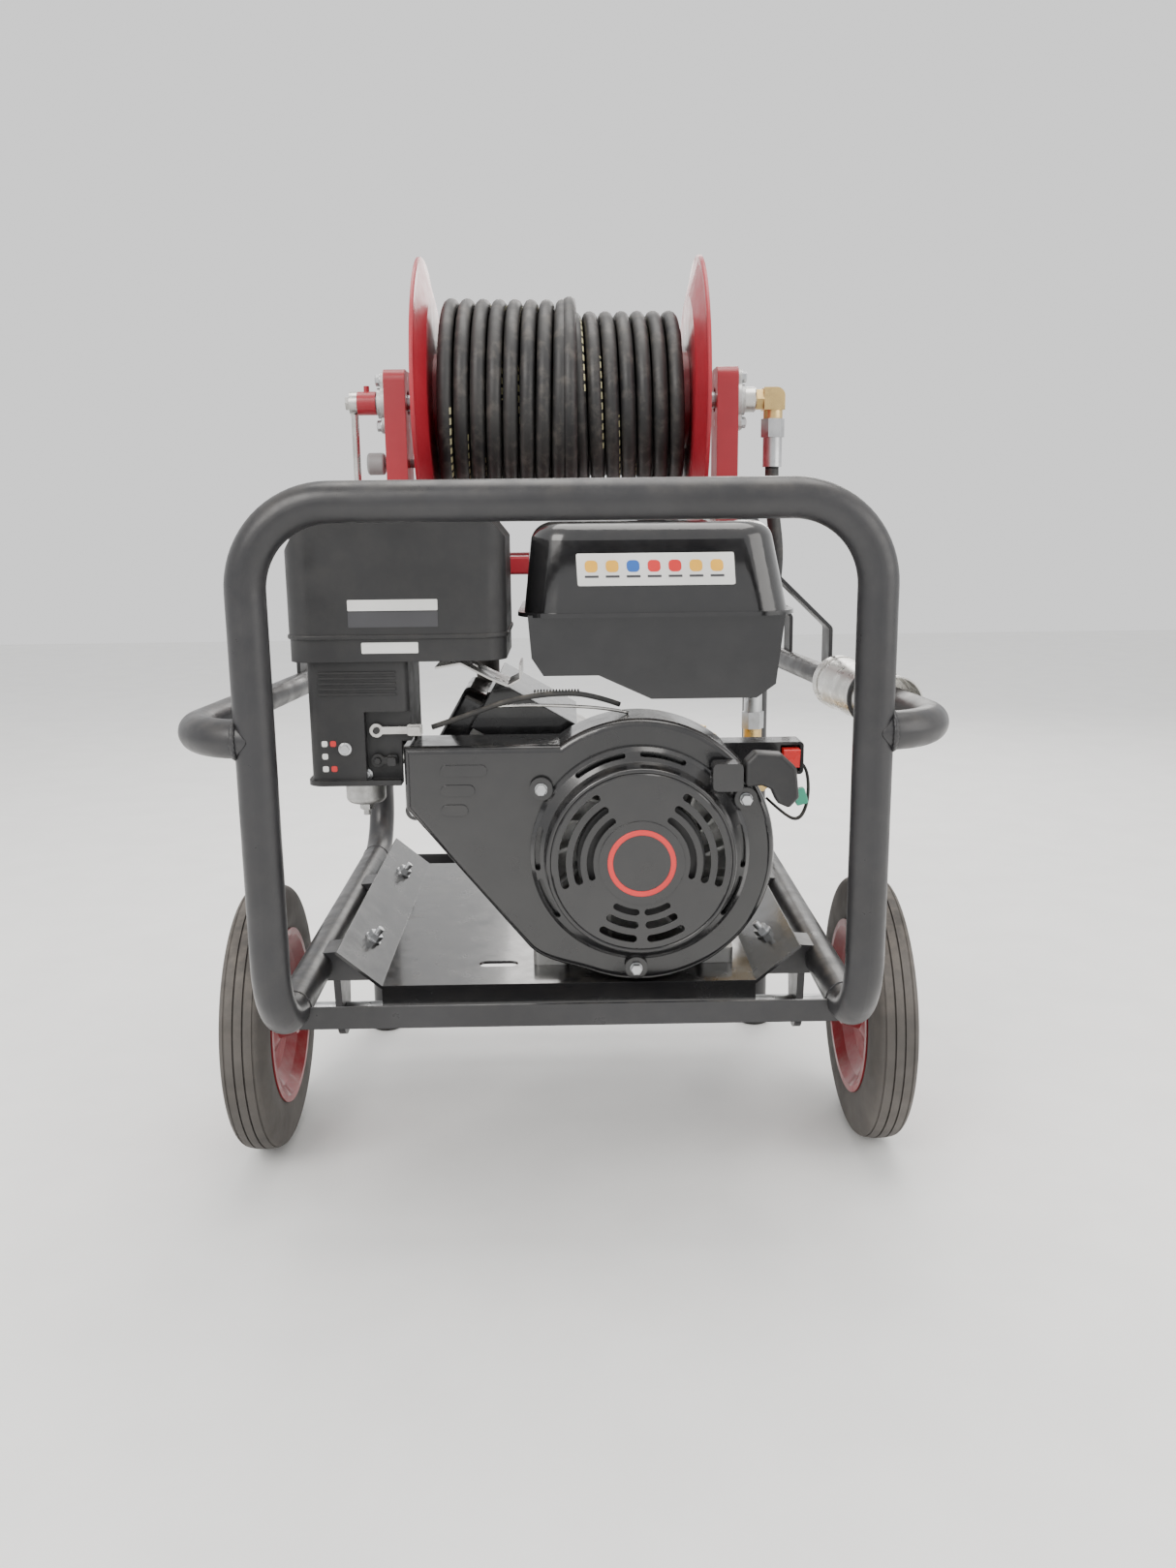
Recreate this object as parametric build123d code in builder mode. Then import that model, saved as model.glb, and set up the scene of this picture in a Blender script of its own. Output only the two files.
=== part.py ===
from build123d import *
from math import cos, radians, sin, sqrt, tan
import os

os.makedirs("parts", exist_ok=True)

# Petrol pressure washer on a two-wheeled tube cage, with a hose reel on top.
# Millimetres. +X is the operator's right, seen from the engine's starter side, +Y points to the
# pump side, +Z is up. The origin is on the ground, under the centre of the cage.

# ------------------------------------------------------------------ driving dimensions
TUBE_R = 17.0              # cage tube, outside
TUBE_BORE_R = 15.0
HOOP_X = 261.0             # centre-line of the uprights, each side
HOOP_TOP_Z = 722.0
BASE_Z = 257.0             # centre-line of the base rails
CAGE_Y = 340.0             # plane of each hoop, front and rear
TOP_BEND_R = 72.0
LOW_BEND_R = 70.0
HOOP_STUB = 5.0            # straight end past the low bend, where the base rail is welded on

RAIL_R = 12.7              # side rail, outside
RAIL_Z = 528.0
ELBOW_CORNER_X = 330.0     # where the elbow's two straight directions meet
ELBOW_BEND_R = 60.0
ELBOW_END_Y = -170.0

WHEEL_R = 150.0
WHEEL_X = 345.0            # middle of the tyre
TYRE_W = 50.0
RIM_R = 98.0
AXLE_Y = -17.5
AXLE_Z = WHEEL_R
AXLE_R = 10.0
SHOULDER_R = 13.0
RUNNING = 0.05             # radial clearance of a running fit

BED_Z = 262.0              # top of the engine bed
BED_T = 3.0
BED_HALF = 183.0           # half width of its flat floor
BED_FRONT_Y = -225.0
BED_REAR_Y = 215.0
WALL_TILT = 40.0           # slope of the bed's side walls
WALL_W = 55.0

CRANK_X = 69.0
CRANK_Z = 394.0
RECOIL_Y = -266.0          # front face of the starter housing
SHROUD_Y = -230.0          # front face of the fan shroud
SHROUD_BACK_Y = -165.0
BLOCK_FRONT_Y = -150.0
PTO_Y = 48.0               # rear face of the crankcase, where the pump bolts on

REEL_Y = 112.0
REEL_Z = 836.0
FLANGE_R = 154.0
DRUM_R = 53.0
DRUM_HALF = 142.0
HOSE_R = 8.0               # high-pressure hose, outside
POST_X = 187.0             # middle of each reel post
POST_W = 24.0


# ------------------------------------------------------------------ helpers
def front_plane(y):
    """An upright plane at that Y: local x is X, local y is Z, and extrusion goes to the front."""
    return Plane.XZ.offset(-y)


def side_plane(x):
    """An upright plane at that X: local x is Y, local y is Z, and extrusion goes to +X."""
    return Plane.YZ.offset(x)


def swept(points, bends, outer, inner=0.0):
    """A round bar or tube along straight runs joined by tangent bends."""
    with BuildPart() as made:
        with BuildLine() as route:
            if bends:
                FilletPolyline(*points, radius=bends)
            else:
                Polyline(*points)
        with BuildSketch(Plane(origin=route.line @ 0, z_dir=route.line % 0)):
            Circle(outer)
            if inner > 0:
                Circle(inner, mode=Mode.SUBTRACT)
        sweep()
    return made.part


def rod_between(start, end, outer, inner=0.0):
    """A straight round bar or tube from one point to another."""
    run = Vector(*end) - Vector(*start)
    with BuildPart() as made:
        with BuildSketch(Plane(origin=start, z_dir=run)):
            Circle(outer)
            if inner > 0:
                Circle(inner, mode=Mode.SUBTRACT)
        extrude(amount=run.length)
    return made.part


def hex_bolt(place, across, head, shank_r, shank, washer_r=0.0):
    """A hexagon bolt: the plane lies on the clamped face, and its z points out of the joint."""
    with BuildPart() as made:
        with BuildSketch(place):
            Circle(shank_r)
        extrude(amount=-shank)
        if washer_r > 0:
            with BuildSketch(place):
                Circle(washer_r)
            extrude(amount=1.5)
        with BuildSketch(place.offset(1.5 if washer_r > 0 else 0.0)):
            RegularPolygon(across / sqrt(3), 6)
        extrude(amount=head)
        chamfer(made.edges().group_by(Axis(place.origin, place.z_dir))[-1], head * 0.15)
    return made.part


def hoop_route(side):
    """Corner points of one hoop of the cage: front for side -1, rear for side +1."""
    plane_y = side * CAGE_Y
    weld_y = side * (CAGE_Y - LOW_BEND_R - HOOP_STUB)
    return [
        (-HOOP_X, weld_y, BASE_Z),
        (-HOOP_X, plane_y, BASE_Z),
        (-HOOP_X, plane_y, HOOP_TOP_Z),
        (HOOP_X, plane_y, HOOP_TOP_Z),
        (HOOP_X, plane_y, BASE_Z),
        (HOOP_X, weld_y, BASE_Z),
    ]


def rail_x(y):
    """Centre-line X of the right side rail, which runs in to the rear hoop."""
    return ELBOW_CORNER_X + (HOOP_X - ELBOW_CORNER_X) * (y + CAGE_Y) / (2 * CAGE_Y)


HOOP_BENDS = [LOW_BEND_R, TOP_BEND_R, TOP_BEND_R, LOW_BEND_R]
WELD_Y = CAGE_Y - LOW_BEND_R - HOOP_STUB
RAIL_DIR = Vector(HOOP_X - ELBOW_CORNER_X, 2 * CAGE_Y, 0).normalized()

# ------------------------------------------------------------------ cage
with BuildPart() as front_hoop:
    add(swept(hoop_route(-1), HOOP_BENDS, TUBE_R, TUBE_BORE_R))

front_hoop.part.label = "front_hoop"
export_step(front_hoop.part, "parts/front_hoop.step")

with BuildPart() as rear_hoop:
    add(swept(hoop_route(1), HOOP_BENDS, TUBE_R, TUBE_BORE_R))

rear_hoop.part.label = "rear_hoop"
export_step(rear_hoop.part, "parts/rear_hoop.step")

# Base rails, each with two sloping brackets that carry the bed's rubber mounts.
MOUNT_YS = (-136.0, 110.0)
RUBBER_H = 22.0
RUBBER_R = 17.0
BRACKET_T = 4.0
WALL_N = Vector(sin(radians(WALL_TILT)), 0, cos(radians(WALL_TILT)))    # left wall, up and inward
WALL_S = Vector(-cos(radians(WALL_TILT)), 0, sin(radians(WALL_TILT)))   # left wall, up its slope
WALL_MID = Vector(-BED_HALF, 0, BED_Z) + WALL_S * (WALL_W / 2)


def wall_point(along, below):
    """A point of the left wall's section: along its slope from the middle, and below its top face."""
    return WALL_MID + WALL_S * along - WALL_N * below


with BuildPart() as left_base:
    add(swept([(-HOOP_X, -WELD_Y, BASE_Z), (-HOOP_X, WELD_Y, BASE_Z)], None, TUBE_R, TUBE_BORE_R))
    for mount_y in MOUNT_YS:
        plate_top = BED_T + RUBBER_H
        corners = [
            wall_point(20, plate_top),
            wall_point(-24, plate_top),
            wall_point(-24, plate_top + BRACKET_T),
            Vector(-HOOP_X + 8, 0, BASE_Z - 15),
            Vector(-HOOP_X + 8, 0, BASE_Z + 15),
        ]
        with BuildSketch(front_plane(mount_y + 20)):
            Polygon(*[(c.X, c.Z) for c in corners], align=None)
        extrude(amount=40)
    with BuildSketch(front_plane(WELD_Y)):
        with Locations((-HOOP_X, BASE_Z)):
            Circle(TUBE_BORE_R)
    extrude(amount=2 * WELD_Y, mode=Mode.SUBTRACT)

with BuildPart() as base_rails:
    add(left_base.part)
    mirror(left_base.part, about=Plane.YZ)

base_rails.part.label = "base_rails"
export_step(base_rails.part, "parts/base_rails.step")

# Angle bars across the base, front and rear.
CROSS_Y = 273.0
CROSS_DEPTH = 35.0
CROSS_LOW_Z = 238.0
CROSS_HIGH_Z = 259.5
CROSS_T = 3.0

with BuildPart() as front_bar:
    with BuildSketch(side_plane(-HOOP_X + 6)):
        with Locations((-CROSS_Y, CROSS_LOW_Z)):
            Rectangle(CROSS_T, CROSS_HIGH_Z - CROSS_LOW_Z, align=(Align.MIN, Align.MIN))
            Rectangle(CROSS_DEPTH, CROSS_T, align=(Align.MIN, Align.MIN))
    extrude(amount=2 * (HOOP_X - 6))
    for x in (-HOOP_X, HOOP_X):
        with BuildSketch(front_plane(-CROSS_Y + CROSS_DEPTH + 5)):
            with Locations((x, BASE_Z)):
                Circle(TUBE_R)
        extrude(amount=CROSS_DEPTH + 20, mode=Mode.SUBTRACT)

with BuildPart() as cross_members:
    add(front_bar.part)
    mirror(front_bar.part, about=Plane.XZ)

cross_members.part.label = "cross_members"
export_step(cross_members.part, "parts/cross_members.step")

# Side rails: a wide elbow off the front upright, and a thinner tube back to the rear upright.
elbow_end = Vector(rail_x(ELBOW_END_Y), ELBOW_END_Y, RAIL_Z)
rail_end = Vector(HOOP_X, CAGE_Y, RAIL_Z)
ELBOW_PLUG = 6.0
ELBOW_R = TUBE_R - 0.3      # a little under the upright's own radius, so the coped end closes cleanly
elbow = swept(
    [(HOOP_X, -CAGE_Y, RAIL_Z), (ELBOW_CORNER_X, -CAGE_Y, RAIL_Z), tuple(elbow_end)],
    [ELBOW_BEND_R],
    ELBOW_R,
    TUBE_BORE_R,
)

with BuildPart() as right_rail:
    add(elbow)
    add(rod_between(elbow_end - RAIL_DIR * ELBOW_PLUG, elbow_end, ELBOW_R))
    add(rod_between(elbow_end - RAIL_DIR, rail_end, RAIL_R))
    with BuildSketch(Plane.XY.offset(RAIL_Z - 40)):
        with Locations((HOOP_X, -CAGE_Y), (HOOP_X, CAGE_Y)):
            Circle(TUBE_R)
    extrude(amount=80, mode=Mode.SUBTRACT)
    with BuildSketch(Plane.XY.offset(RAIL_Z - 40)):
        with Locations((HOOP_X - 25, -CAGE_Y), (HOOP_X, CAGE_Y + 25)):
            Rectangle(50, 50)
    extrude(amount=80, mode=Mode.SUBTRACT)

with BuildPart() as side_rails:
    add(right_rail.part.solids().sort_by(SortBy.VOLUME)[-1])
    mirror(right_rail.part.solids().sort_by(SortBy.VOLUME)[-1], about=Plane.YZ)

side_rails.part.label = "side_rails"
export_step(side_rails.part, "parts/side_rails.step")

# Stainless sleeve round the right rail.
SLEEVE_R = 28.0
SLEEVE_T = 1.5
SLEEVE_START_Y = -200.0
SLEEVE_END_Y = -22.0


def rail_plane(y):
    """The plane across the right side rail at that Y, its z pointing to the rear."""
    return Plane(origin=(rail_x(y), y, RAIL_Z), z_dir=RAIL_DIR)


with BuildPart() as rail_sleeve:
    with BuildSketch(rail_plane(SLEEVE_START_Y)):
        Circle(SLEEVE_R)
        Circle(SLEEVE_R - SLEEVE_T, mode=Mode.SUBTRACT)
    extrude(amount=SLEEVE_END_Y - SLEEVE_START_Y)
    for ring_y in (SLEEVE_END_Y - 4, -150.0):
        with BuildSketch(rail_plane(ring_y)):
            Circle(SLEEVE_R - SLEEVE_T)
            Circle(RAIL_R, mode=Mode.SUBTRACT)
        extrude(amount=4)
    with BuildSketch(rail_plane(SLEEVE_END_Y - 16)):
        Circle(SLEEVE_R + 1)
        Circle(SLEEVE_R - 0.5, mode=Mode.SUBTRACT)
    extrude(amount=14)

rail_sleeve.part.label = "rail_sleeve"
export_step(rail_sleeve.part, "parts/rail_sleeve.step")

# Two legs and rubber feet under the rear hoop.
LEG_Y = 300.0
FOOT_H = 22.0
rear_solid_bar = swept(hoop_route(1), HOOP_BENDS, TUBE_R)

with BuildPart() as right_leg:
    with BuildSketch(Plane.XY.offset(FOOT_H)):
        with Locations((HOOP_X, LEG_Y)):
            Circle(TUBE_R)
            Circle(TUBE_BORE_R, mode=Mode.SUBTRACT)
    extrude(amount=BASE_Z - FOOT_H)
    add(rear_solid_bar, mode=Mode.SUBTRACT)

with BuildPart() as stand_legs:
    add(right_leg.part.solids().sort_by(SortBy.VOLUME)[-1])
    mirror(right_leg.part.solids().sort_by(SortBy.VOLUME)[-1], about=Plane.YZ)

stand_legs.part.label = "stand_legs"
export_step(stand_legs.part, "parts/stand_legs.step")

with BuildPart() as stand_feet:
    for x in (-HOOP_X, HOOP_X):
        with BuildSketch(Plane.XY):
            with Locations((x, LEG_Y)):
                Circle(TUBE_R + 5)
        extrude(amount=FOOT_H, taper=4)
    fillet(stand_feet.edges().filter_by(GeomType.CIRCLE).group_by(Axis.Z)[0], 3)

stand_feet.part.label = "stand_feet"
export_step(stand_feet.part, "parts/stand_feet.step")

# ------------------------------------------------------------------ axle and wheels
HUB_X = (WHEEL_X - 31.0, WHEEL_X + 12.0)    # inner and outer end of the wheel's hub
BRACKET_X = HOOP_X
AXLE_PLATE_T = 8.0
AXLE_PLATE_W = 56.0

with BuildPart() as axle:
    with BuildSketch(side_plane(-HUB_X[1] - 12)):
        with Locations((AXLE_Y, AXLE_Z)):
            Circle(AXLE_R)
    extrude(amount=2 * (HUB_X[1] + 12))
    with BuildSketch(side_plane(-HUB_X[0] + 0.5)):
        with Locations((AXLE_Y, AXLE_Z)):
            Circle(SHOULDER_R)
    extrude(amount=2 * (HUB_X[0] - 0.5))
    chamfer(axle.edges().filter_by(GeomType.CIRCLE).group_by(Axis.X)[0], 1.5)
    chamfer(axle.edges().filter_by(GeomType.CIRCLE).group_by(Axis.X)[-1], 1.5)

axle.part.label = "axle"
export_step(axle.part, "parts/axle.step")

with BuildPart() as axle_brackets:
    for x in (-BRACKET_X, BRACKET_X):
        with BuildSketch(side_plane(x - AXLE_PLATE_T / 2)):
            with BuildLine():
                Polyline(
                    (AXLE_Y - 24, AXLE_Z),
                    (AXLE_Y - AXLE_PLATE_W / 2 - 12, BASE_Z),
                    (AXLE_Y + AXLE_PLATE_W / 2 + 12, BASE_Z),
                    (AXLE_Y + 24, AXLE_Z),
                )
                ThreePointArc((AXLE_Y + 24, AXLE_Z), (AXLE_Y, AXLE_Z - 24), (AXLE_Y - 24, AXLE_Z))
            make_face()
            with Locations((AXLE_Y, AXLE_Z)):
                Circle(SHOULDER_R, mode=Mode.SUBTRACT)
        extrude(amount=AXLE_PLATE_T)
        with BuildSketch(front_plane(AXLE_Y + 80)):
            with Locations((x, BASE_Z)):
                Circle(TUBE_R)
        extrude(amount=160, mode=Mode.SUBTRACT)

axle_brackets.part.label = "axle_brackets"
export_step(axle_brackets.part, "parts/axle_brackets.step")

with BuildPart() as axle_nuts:
    for side in (-1, 1):
        start = side * (HUB_X[1] + 0.5)
        with BuildSketch(side_plane(start)):
            with Locations((AXLE_Y, AXLE_Z)):
                Circle(AXLE_R + 5)
                Circle(AXLE_R, mode=Mode.SUBTRACT)
        extrude(amount=side * 2)
        with BuildSketch(side_plane(start + side * 2)):
            with Locations((AXLE_Y, AXLE_Z)):
                RegularPolygon(14, 6)
                Circle(AXLE_R, mode=Mode.SUBTRACT)
        extrude(amount=side * 7)

axle_nuts.part.label = "axle_nuts"
export_step(axle_nuts.part, "parts/axle_nuts.step")

GROOVES = 4
GROOVE_W = 1.8
GROOVE_DEPTH = 3.0


def tyre_part(middle_x):
    """A solid rubber tyre with straight ribs, in the wheel's place."""
    spin = Axis((middle_x, AXLE_Y, AXLE_Z), (1, 0, 0))
    with BuildPart() as made:
        with BuildSketch(Plane.XZ.offset(-AXLE_Y).shift_origin((middle_x, AXLE_Y, AXLE_Z))):
            with BuildLine():
                half = TYRE_W / 2
                Line((-half + 3, RIM_R), (half - 3, RIM_R))
                ThreePointArc((half - 3, RIM_R), (half, RIM_R + 22), (half - 4, WHEEL_R - 8))
                ThreePointArc((half - 4, WHEEL_R - 8), (half - 7, WHEEL_R - 3.6), (half - 12, WHEEL_R - 1.4))
                ThreePointArc((half - 12, WHEEL_R - 1.4), (0, WHEEL_R), (-half + 12, WHEEL_R - 1.4))
                ThreePointArc(
                    (-half + 12, WHEEL_R - 1.4), (-half + 7, WHEEL_R - 3.6), (-half + 4, WHEEL_R - 8)
                )
                ThreePointArc((-half + 4, WHEEL_R - 8), (-half, RIM_R + 22), (-half + 3, RIM_R))
            make_face()
            with GridLocations(TYRE_W / (GROOVES + 1), 0, GROOVES, 1):
                with Locations((0, WHEEL_R)):
                    Rectangle(GROOVE_W, 2 * GROOVE_DEPTH, mode=Mode.SUBTRACT)
        revolve(axis=spin)
    return made.part


def rim_part(middle_x, side):
    """A pressed rim with a dished disc and a hub; side is +1 where the outside faces +X."""
    spin = Axis((middle_x, AXLE_Y, AXLE_Z), (1, 0, 0))
    lip = 22.8
    with BuildPart() as made:
        with BuildSketch(Plane.XZ.offset(-AXLE_Y).shift_origin((middle_x, AXLE_Y, AXLE_Z))):
            with BuildLine():
                Polyline(
                    (-lip * side, RIM_R),
                    (-lip * side, RIM_R + 1),
                    (-24.4 * side, RIM_R + 1),
                    (-24.4 * side, RIM_R - 6),
                    (-14 * side, 82),
                    (-4 * side, 68),
                    (-4 * side, 44),
                    (-12 * side, 28),
                    (-31 * side, 22),
                    (-31 * side, AXLE_R + RUNNING),
                    (12 * side, AXLE_R + RUNNING),
                    (12 * side, 22),
                    (-6 * side, 26),
                    (0, 42),
                    (0, 70),
                    (12 * side, 84),
                    (24.4 * side, RIM_R - 5),
                    (24.4 * side, RIM_R + 1),
                    (lip * side, RIM_R + 1),
                    (lip * side, RIM_R),
                    close=True,
                )
            make_face()
        revolve(axis=spin)
    return made.part


with BuildPart() as tyre_left:
    add(tyre_part(-WHEEL_X))

tyre_left.part.label = "tyre_left"
export_step(tyre_left.part, "parts/tyre_left.step")

with BuildPart() as tyre_right:
    add(tyre_part(WHEEL_X))

tyre_right.part.label = "tyre_right"
export_step(tyre_right.part, "parts/tyre_right.step")

with BuildPart() as rim_left:
    add(rim_part(-WHEEL_X, -1))

rim_left.part.label = "rim_left"
export_step(rim_left.part, "parts/rim_left.step")

with BuildPart() as rim_right:
    add(rim_part(WHEEL_X, 1))

rim_right.part.label = "rim_right"
export_step(rim_right.part, "parts/rim_right.step")

# ------------------------------------------------------------------ engine bed on rubber mounts
BOLT_R = 4.0

with BuildPart() as engine_bed:
    outer_edge = Vector(-BED_HALF, 0, BED_Z) + WALL_S * WALL_W
    drop = WALL_N * BED_T
    with BuildSketch(front_plane(BED_REAR_Y)):
        with BuildLine():
            Polyline(
                (outer_edge.X, outer_edge.Z),
                (-BED_HALF, BED_Z),
                (BED_HALF, BED_Z),
                (-outer_edge.X, outer_edge.Z),
                (-outer_edge.X + drop.X, outer_edge.Z - drop.Z),
                (BED_HALF + 1.1, BED_Z - BED_T),
                (-BED_HALF - 1.1, BED_Z - BED_T),
                (outer_edge.X - drop.X, outer_edge.Z - drop.Z),
                close=True,
            )
        make_face()
    extrude(amount=BED_REAR_Y - BED_FRONT_Y)
    for y in (BED_FRONT_Y + BED_T, BED_REAR_Y):
        with BuildSketch(front_plane(y)):
            with Locations((0, BED_Z)):
                Rectangle(2 * BED_HALF, 32, align=(Align.CENTER, Align.MAX))
        extrude(amount=BED_T)
    for y in MOUNT_YS:
        for side in (-1, 1):
            centre = Vector(side * -WALL_MID.X, y, WALL_MID.Z)
            with BuildSketch(Plane(origin=centre, z_dir=(-side * WALL_N.X, 0, WALL_N.Z))):
                Circle(BOLT_R)
            extrude(amount=-3 * BED_T, both=True, mode=Mode.SUBTRACT)
    with BuildSketch(Plane.XY.offset(BED_Z)):
        with Locations((-72, -168), (-72, 40), (0, 130)):
            SlotOverall(40, 16)
    extrude(amount=-2 * BED_T, mode=Mode.SUBTRACT)

engine_bed.part.label = "engine_bed"
export_step(engine_bed.part, "parts/engine_bed.step")


def mount_plane(side, y, below):
    """The plane across one rubber mount, that far under the bed wall's top face."""
    centre = wall_point(0, below)
    return Plane(origin=(side * -centre.X, y, centre.Z), z_dir=(-side * WALL_N.X, 0, WALL_N.Z))


with BuildPart() as rubber_mounts:
    for y in MOUNT_YS:
        for side in (-1, 1):
            with BuildSketch(mount_plane(side, y, BED_T)):
                Circle(RUBBER_R)
                Circle(BOLT_R, mode=Mode.SUBTRACT)
            extrude(amount=-RUBBER_H)

rubber_mounts.part.label = "rubber_mounts"
export_step(rubber_mounts.part, "parts/rubber_mounts.step")

with BuildPart() as mount_bolts:
    for y in MOUNT_YS:
        for side in (-1, 1):
            top = mount_plane(side, y, 0)
            with BuildSketch(top):
                Circle(BOLT_R)
            extrude(amount=-BED_T - RUBBER_H)
            with BuildSketch(top):
                Circle(9)
            extrude(amount=1.6)
            with BuildSketch(top.offset(1.6)):
                RegularPolygon(7.6, 6)
            extrude(amount=6.4)
            with BuildSketch(top.offset(8)):
                Circle(BOLT_R - 0.4)
            extrude(amount=7)

mount_bolts.part.label = "mount_bolts"
export_step(mount_bolts.part, "parts/mount_bolts.step")

# ------------------------------------------------------------------ engine
CYL_TILT = 30.0            # the cylinder leans to the left, this far above level
CYL_BORE_R = 44.0
SHAFT_R = 15.0
CHAMBER_R = 74.0
FOOT_FRONT_Y = -175.0
FOOT_REAR_Y = 35.0
CYL_Y = -58.0              # the cylinder's axis along the crankshaft
CYL_END = 112.0            # from the crankshaft to the head gasket
HEAD_LONG = 82.0

crank_axis = Axis((CRANK_X, 0, CRANK_Z), (0, 1, 0))
cylinder_plane = Plane(
    origin=(CRANK_X, CYL_Y, CRANK_Z),
    x_dir=(0, 1, 0),
    z_dir=(-cos(radians(CYL_TILT)), 0, sin(radians(CYL_TILT))),
)

with BuildPart() as crankcase:
    with BuildSketch(front_plane(PTO_Y)):
        with Locations((CRANK_X, CRANK_Z)):
            Circle(88)
        with Locations((CRANK_X - 4, BED_Z)):
            Rectangle(150, CRANK_Z - BED_Z, align=(Align.CENTER, Align.MIN))
    extrude(amount=PTO_Y - BLOCK_FRONT_Y)
    with BuildSketch(cylinder_plane.offset(40)):
        RectangleRounded(150, 116, 18)
    extrude(amount=CYL_END - 40)
    for x in (CRANK_X - 105, CRANK_X + 62):
        with BuildSketch(Plane.XY.offset(BED_Z)):
            with Locations((x, FOOT_FRONT_Y)):
                Rectangle(36, FOOT_REAR_Y - FOOT_FRONT_Y, align=(Align.MIN, Align.MIN))
        extrude(amount=16)
    fillet(crankcase.edges().filter_by(Axis.Z).group_by(Axis.Y)[0], 6)
    with BuildSketch(front_plane(PTO_Y - 16)):
        with Locations((CRANK_X, CRANK_Z)):
            Circle(CHAMBER_R)
    extrude(amount=PTO_Y - BLOCK_FRONT_Y - 32, mode=Mode.SUBTRACT)
    with BuildSketch(cylinder_plane):
        Circle(CYL_BORE_R)
    extrude(amount=CYL_END, mode=Mode.SUBTRACT)
    with BuildSketch(front_plane(PTO_Y)):
        with Locations((CRANK_X, CRANK_Z)):
            Circle(SHAFT_R + RUNNING)
    extrude(amount=PTO_Y - BLOCK_FRONT_Y, mode=Mode.SUBTRACT)
    with Locations(Plane.XY.offset(BED_Z + 16)):
        with Locations(
            (CRANK_X - 95, -150), (CRANK_X - 95, 10), (CRANK_X + 86, -150), (CRANK_X + 86, 10)
        ):
            Hole(5, depth=16)

crankcase.part.label = "crankcase"
export_step(crankcase.part, "parts/crankcase.step")

FIN_COUNT = 8
FIN_T = 3.0

with BuildPart() as cylinder_head:
    with BuildSketch(cylinder_plane.offset(CYL_END)):
        RectangleRounded(120, 92, 14)
    extrude(amount=HEAD_LONG)
    for n in range(FIN_COUNT):
        with BuildSketch(cylinder_plane.offset(CYL_END + 3 + n * 9.0)):
            RectangleRounded(150, 124, 16)
        extrude(amount=FIN_T)
    with BuildSketch(cylinder_plane.offset(CYL_END)):
        Circle(CYL_BORE_R - 2)
    extrude(amount=18, mode=Mode.SUBTRACT)

cylinder_head.part.label = "cylinder_head"
export_step(cylinder_head.part, "parts/cylinder_head.step")

with BuildPart() as valve_cover:
    with BuildSketch(cylinder_plane.offset(CYL_END + HEAD_LONG)):
        RectangleRounded(116, 88, 16)
    extrude(amount=26, taper=8)
    fillet(valve_cover.faces().sort_by(Axis(cylinder_plane.origin, cylinder_plane.z_dir))[-1].edges(), 6)
    with BuildSketch(cylinder_plane.offset(CYL_END + HEAD_LONG)):
        RectangleRounded(102, 74, 12)
    extrude(amount=20, taper=8, mode=Mode.SUBTRACT)
    with BuildSketch(cylinder_plane.offset(CYL_END + HEAD_LONG)):
        RectangleRounded(122, 94, 18)
        RectangleRounded(104, 76, 12, mode=Mode.SUBTRACT)
    extrude(amount=4)

valve_cover.part.label = "valve_cover"
export_step(valve_cover.part, "parts/valve_cover.step")

# The fan shroud: a volute that opens to the upper left, where it covers the cylinder's fins.
SHROUD_R = 129.0
SHROUD_T = 2.5
SHROUD_LEFT_X = -152.0
SHROUD_TOP_Z = 499.0
INLET_R = 92.0
RECOIL_BOLT_R = 113.0
RECOIL_BOLT_ANGLES = (28.0, 145.0, 268.0)
SMALL_BOLT_R = 3.0
LOW_LEFT_EAR = (-148.0, 428.0)
SWITCH_X = 217.0
SWITCH_Z = 477.0
SWITCH_BOX_DEPTH = 30.0
SWITCH_BOX_END_X = 230.0
SWITCH_BOX_W = 90.0
SWITCH_PIVOT_Y = SHROUD_BACK_Y - 26.0
SWITCH_PIN_R = 2.0
recoil_bolt_spots = [
    (CRANK_X + RECOIL_BOLT_R * cos(radians(a)), CRANK_Z + RECOIL_BOLT_R * sin(radians(a)))
    for a in RECOIL_BOLT_ANGLES
]


def shroud_outline(inset):
    """The volute seen from the front, drawn that far inside the outer wall."""
    radius = SHROUD_R - inset
    left = SHROUD_LEFT_X + inset
    top = SHROUD_TOP_Z - inset
    low_left = (left, 440.0 + inset * 0.4)
    top_touch = CRANK_X - sqrt(radius**2 - (top - CRANK_Z) ** 2)
    low_angle = radians(248)
    low_touch = (CRANK_X + radius * cos(low_angle), CRANK_Z + radius * sin(low_angle))
    knee = (-38.0 + inset * 0.75, 300.0 + inset * 0.75)
    with BuildSketch(front_plane(0)) as outline:
        with BuildLine():
            Line((left, top), (top_touch, top))
            ThreePointArc((top_touch, top), (CRANK_X + radius, CRANK_Z), low_touch)
            Spline(low_touch, knee, tangents=((-1, 0.35), (-0.72, 0.78)))
            Line(knee, low_left)
            Line(low_left, (left, top))
        make_face()
    return outline.sketch


outer_outline = shroud_outline(0)
inner_outline = shroud_outline(SHROUD_T)

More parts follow.
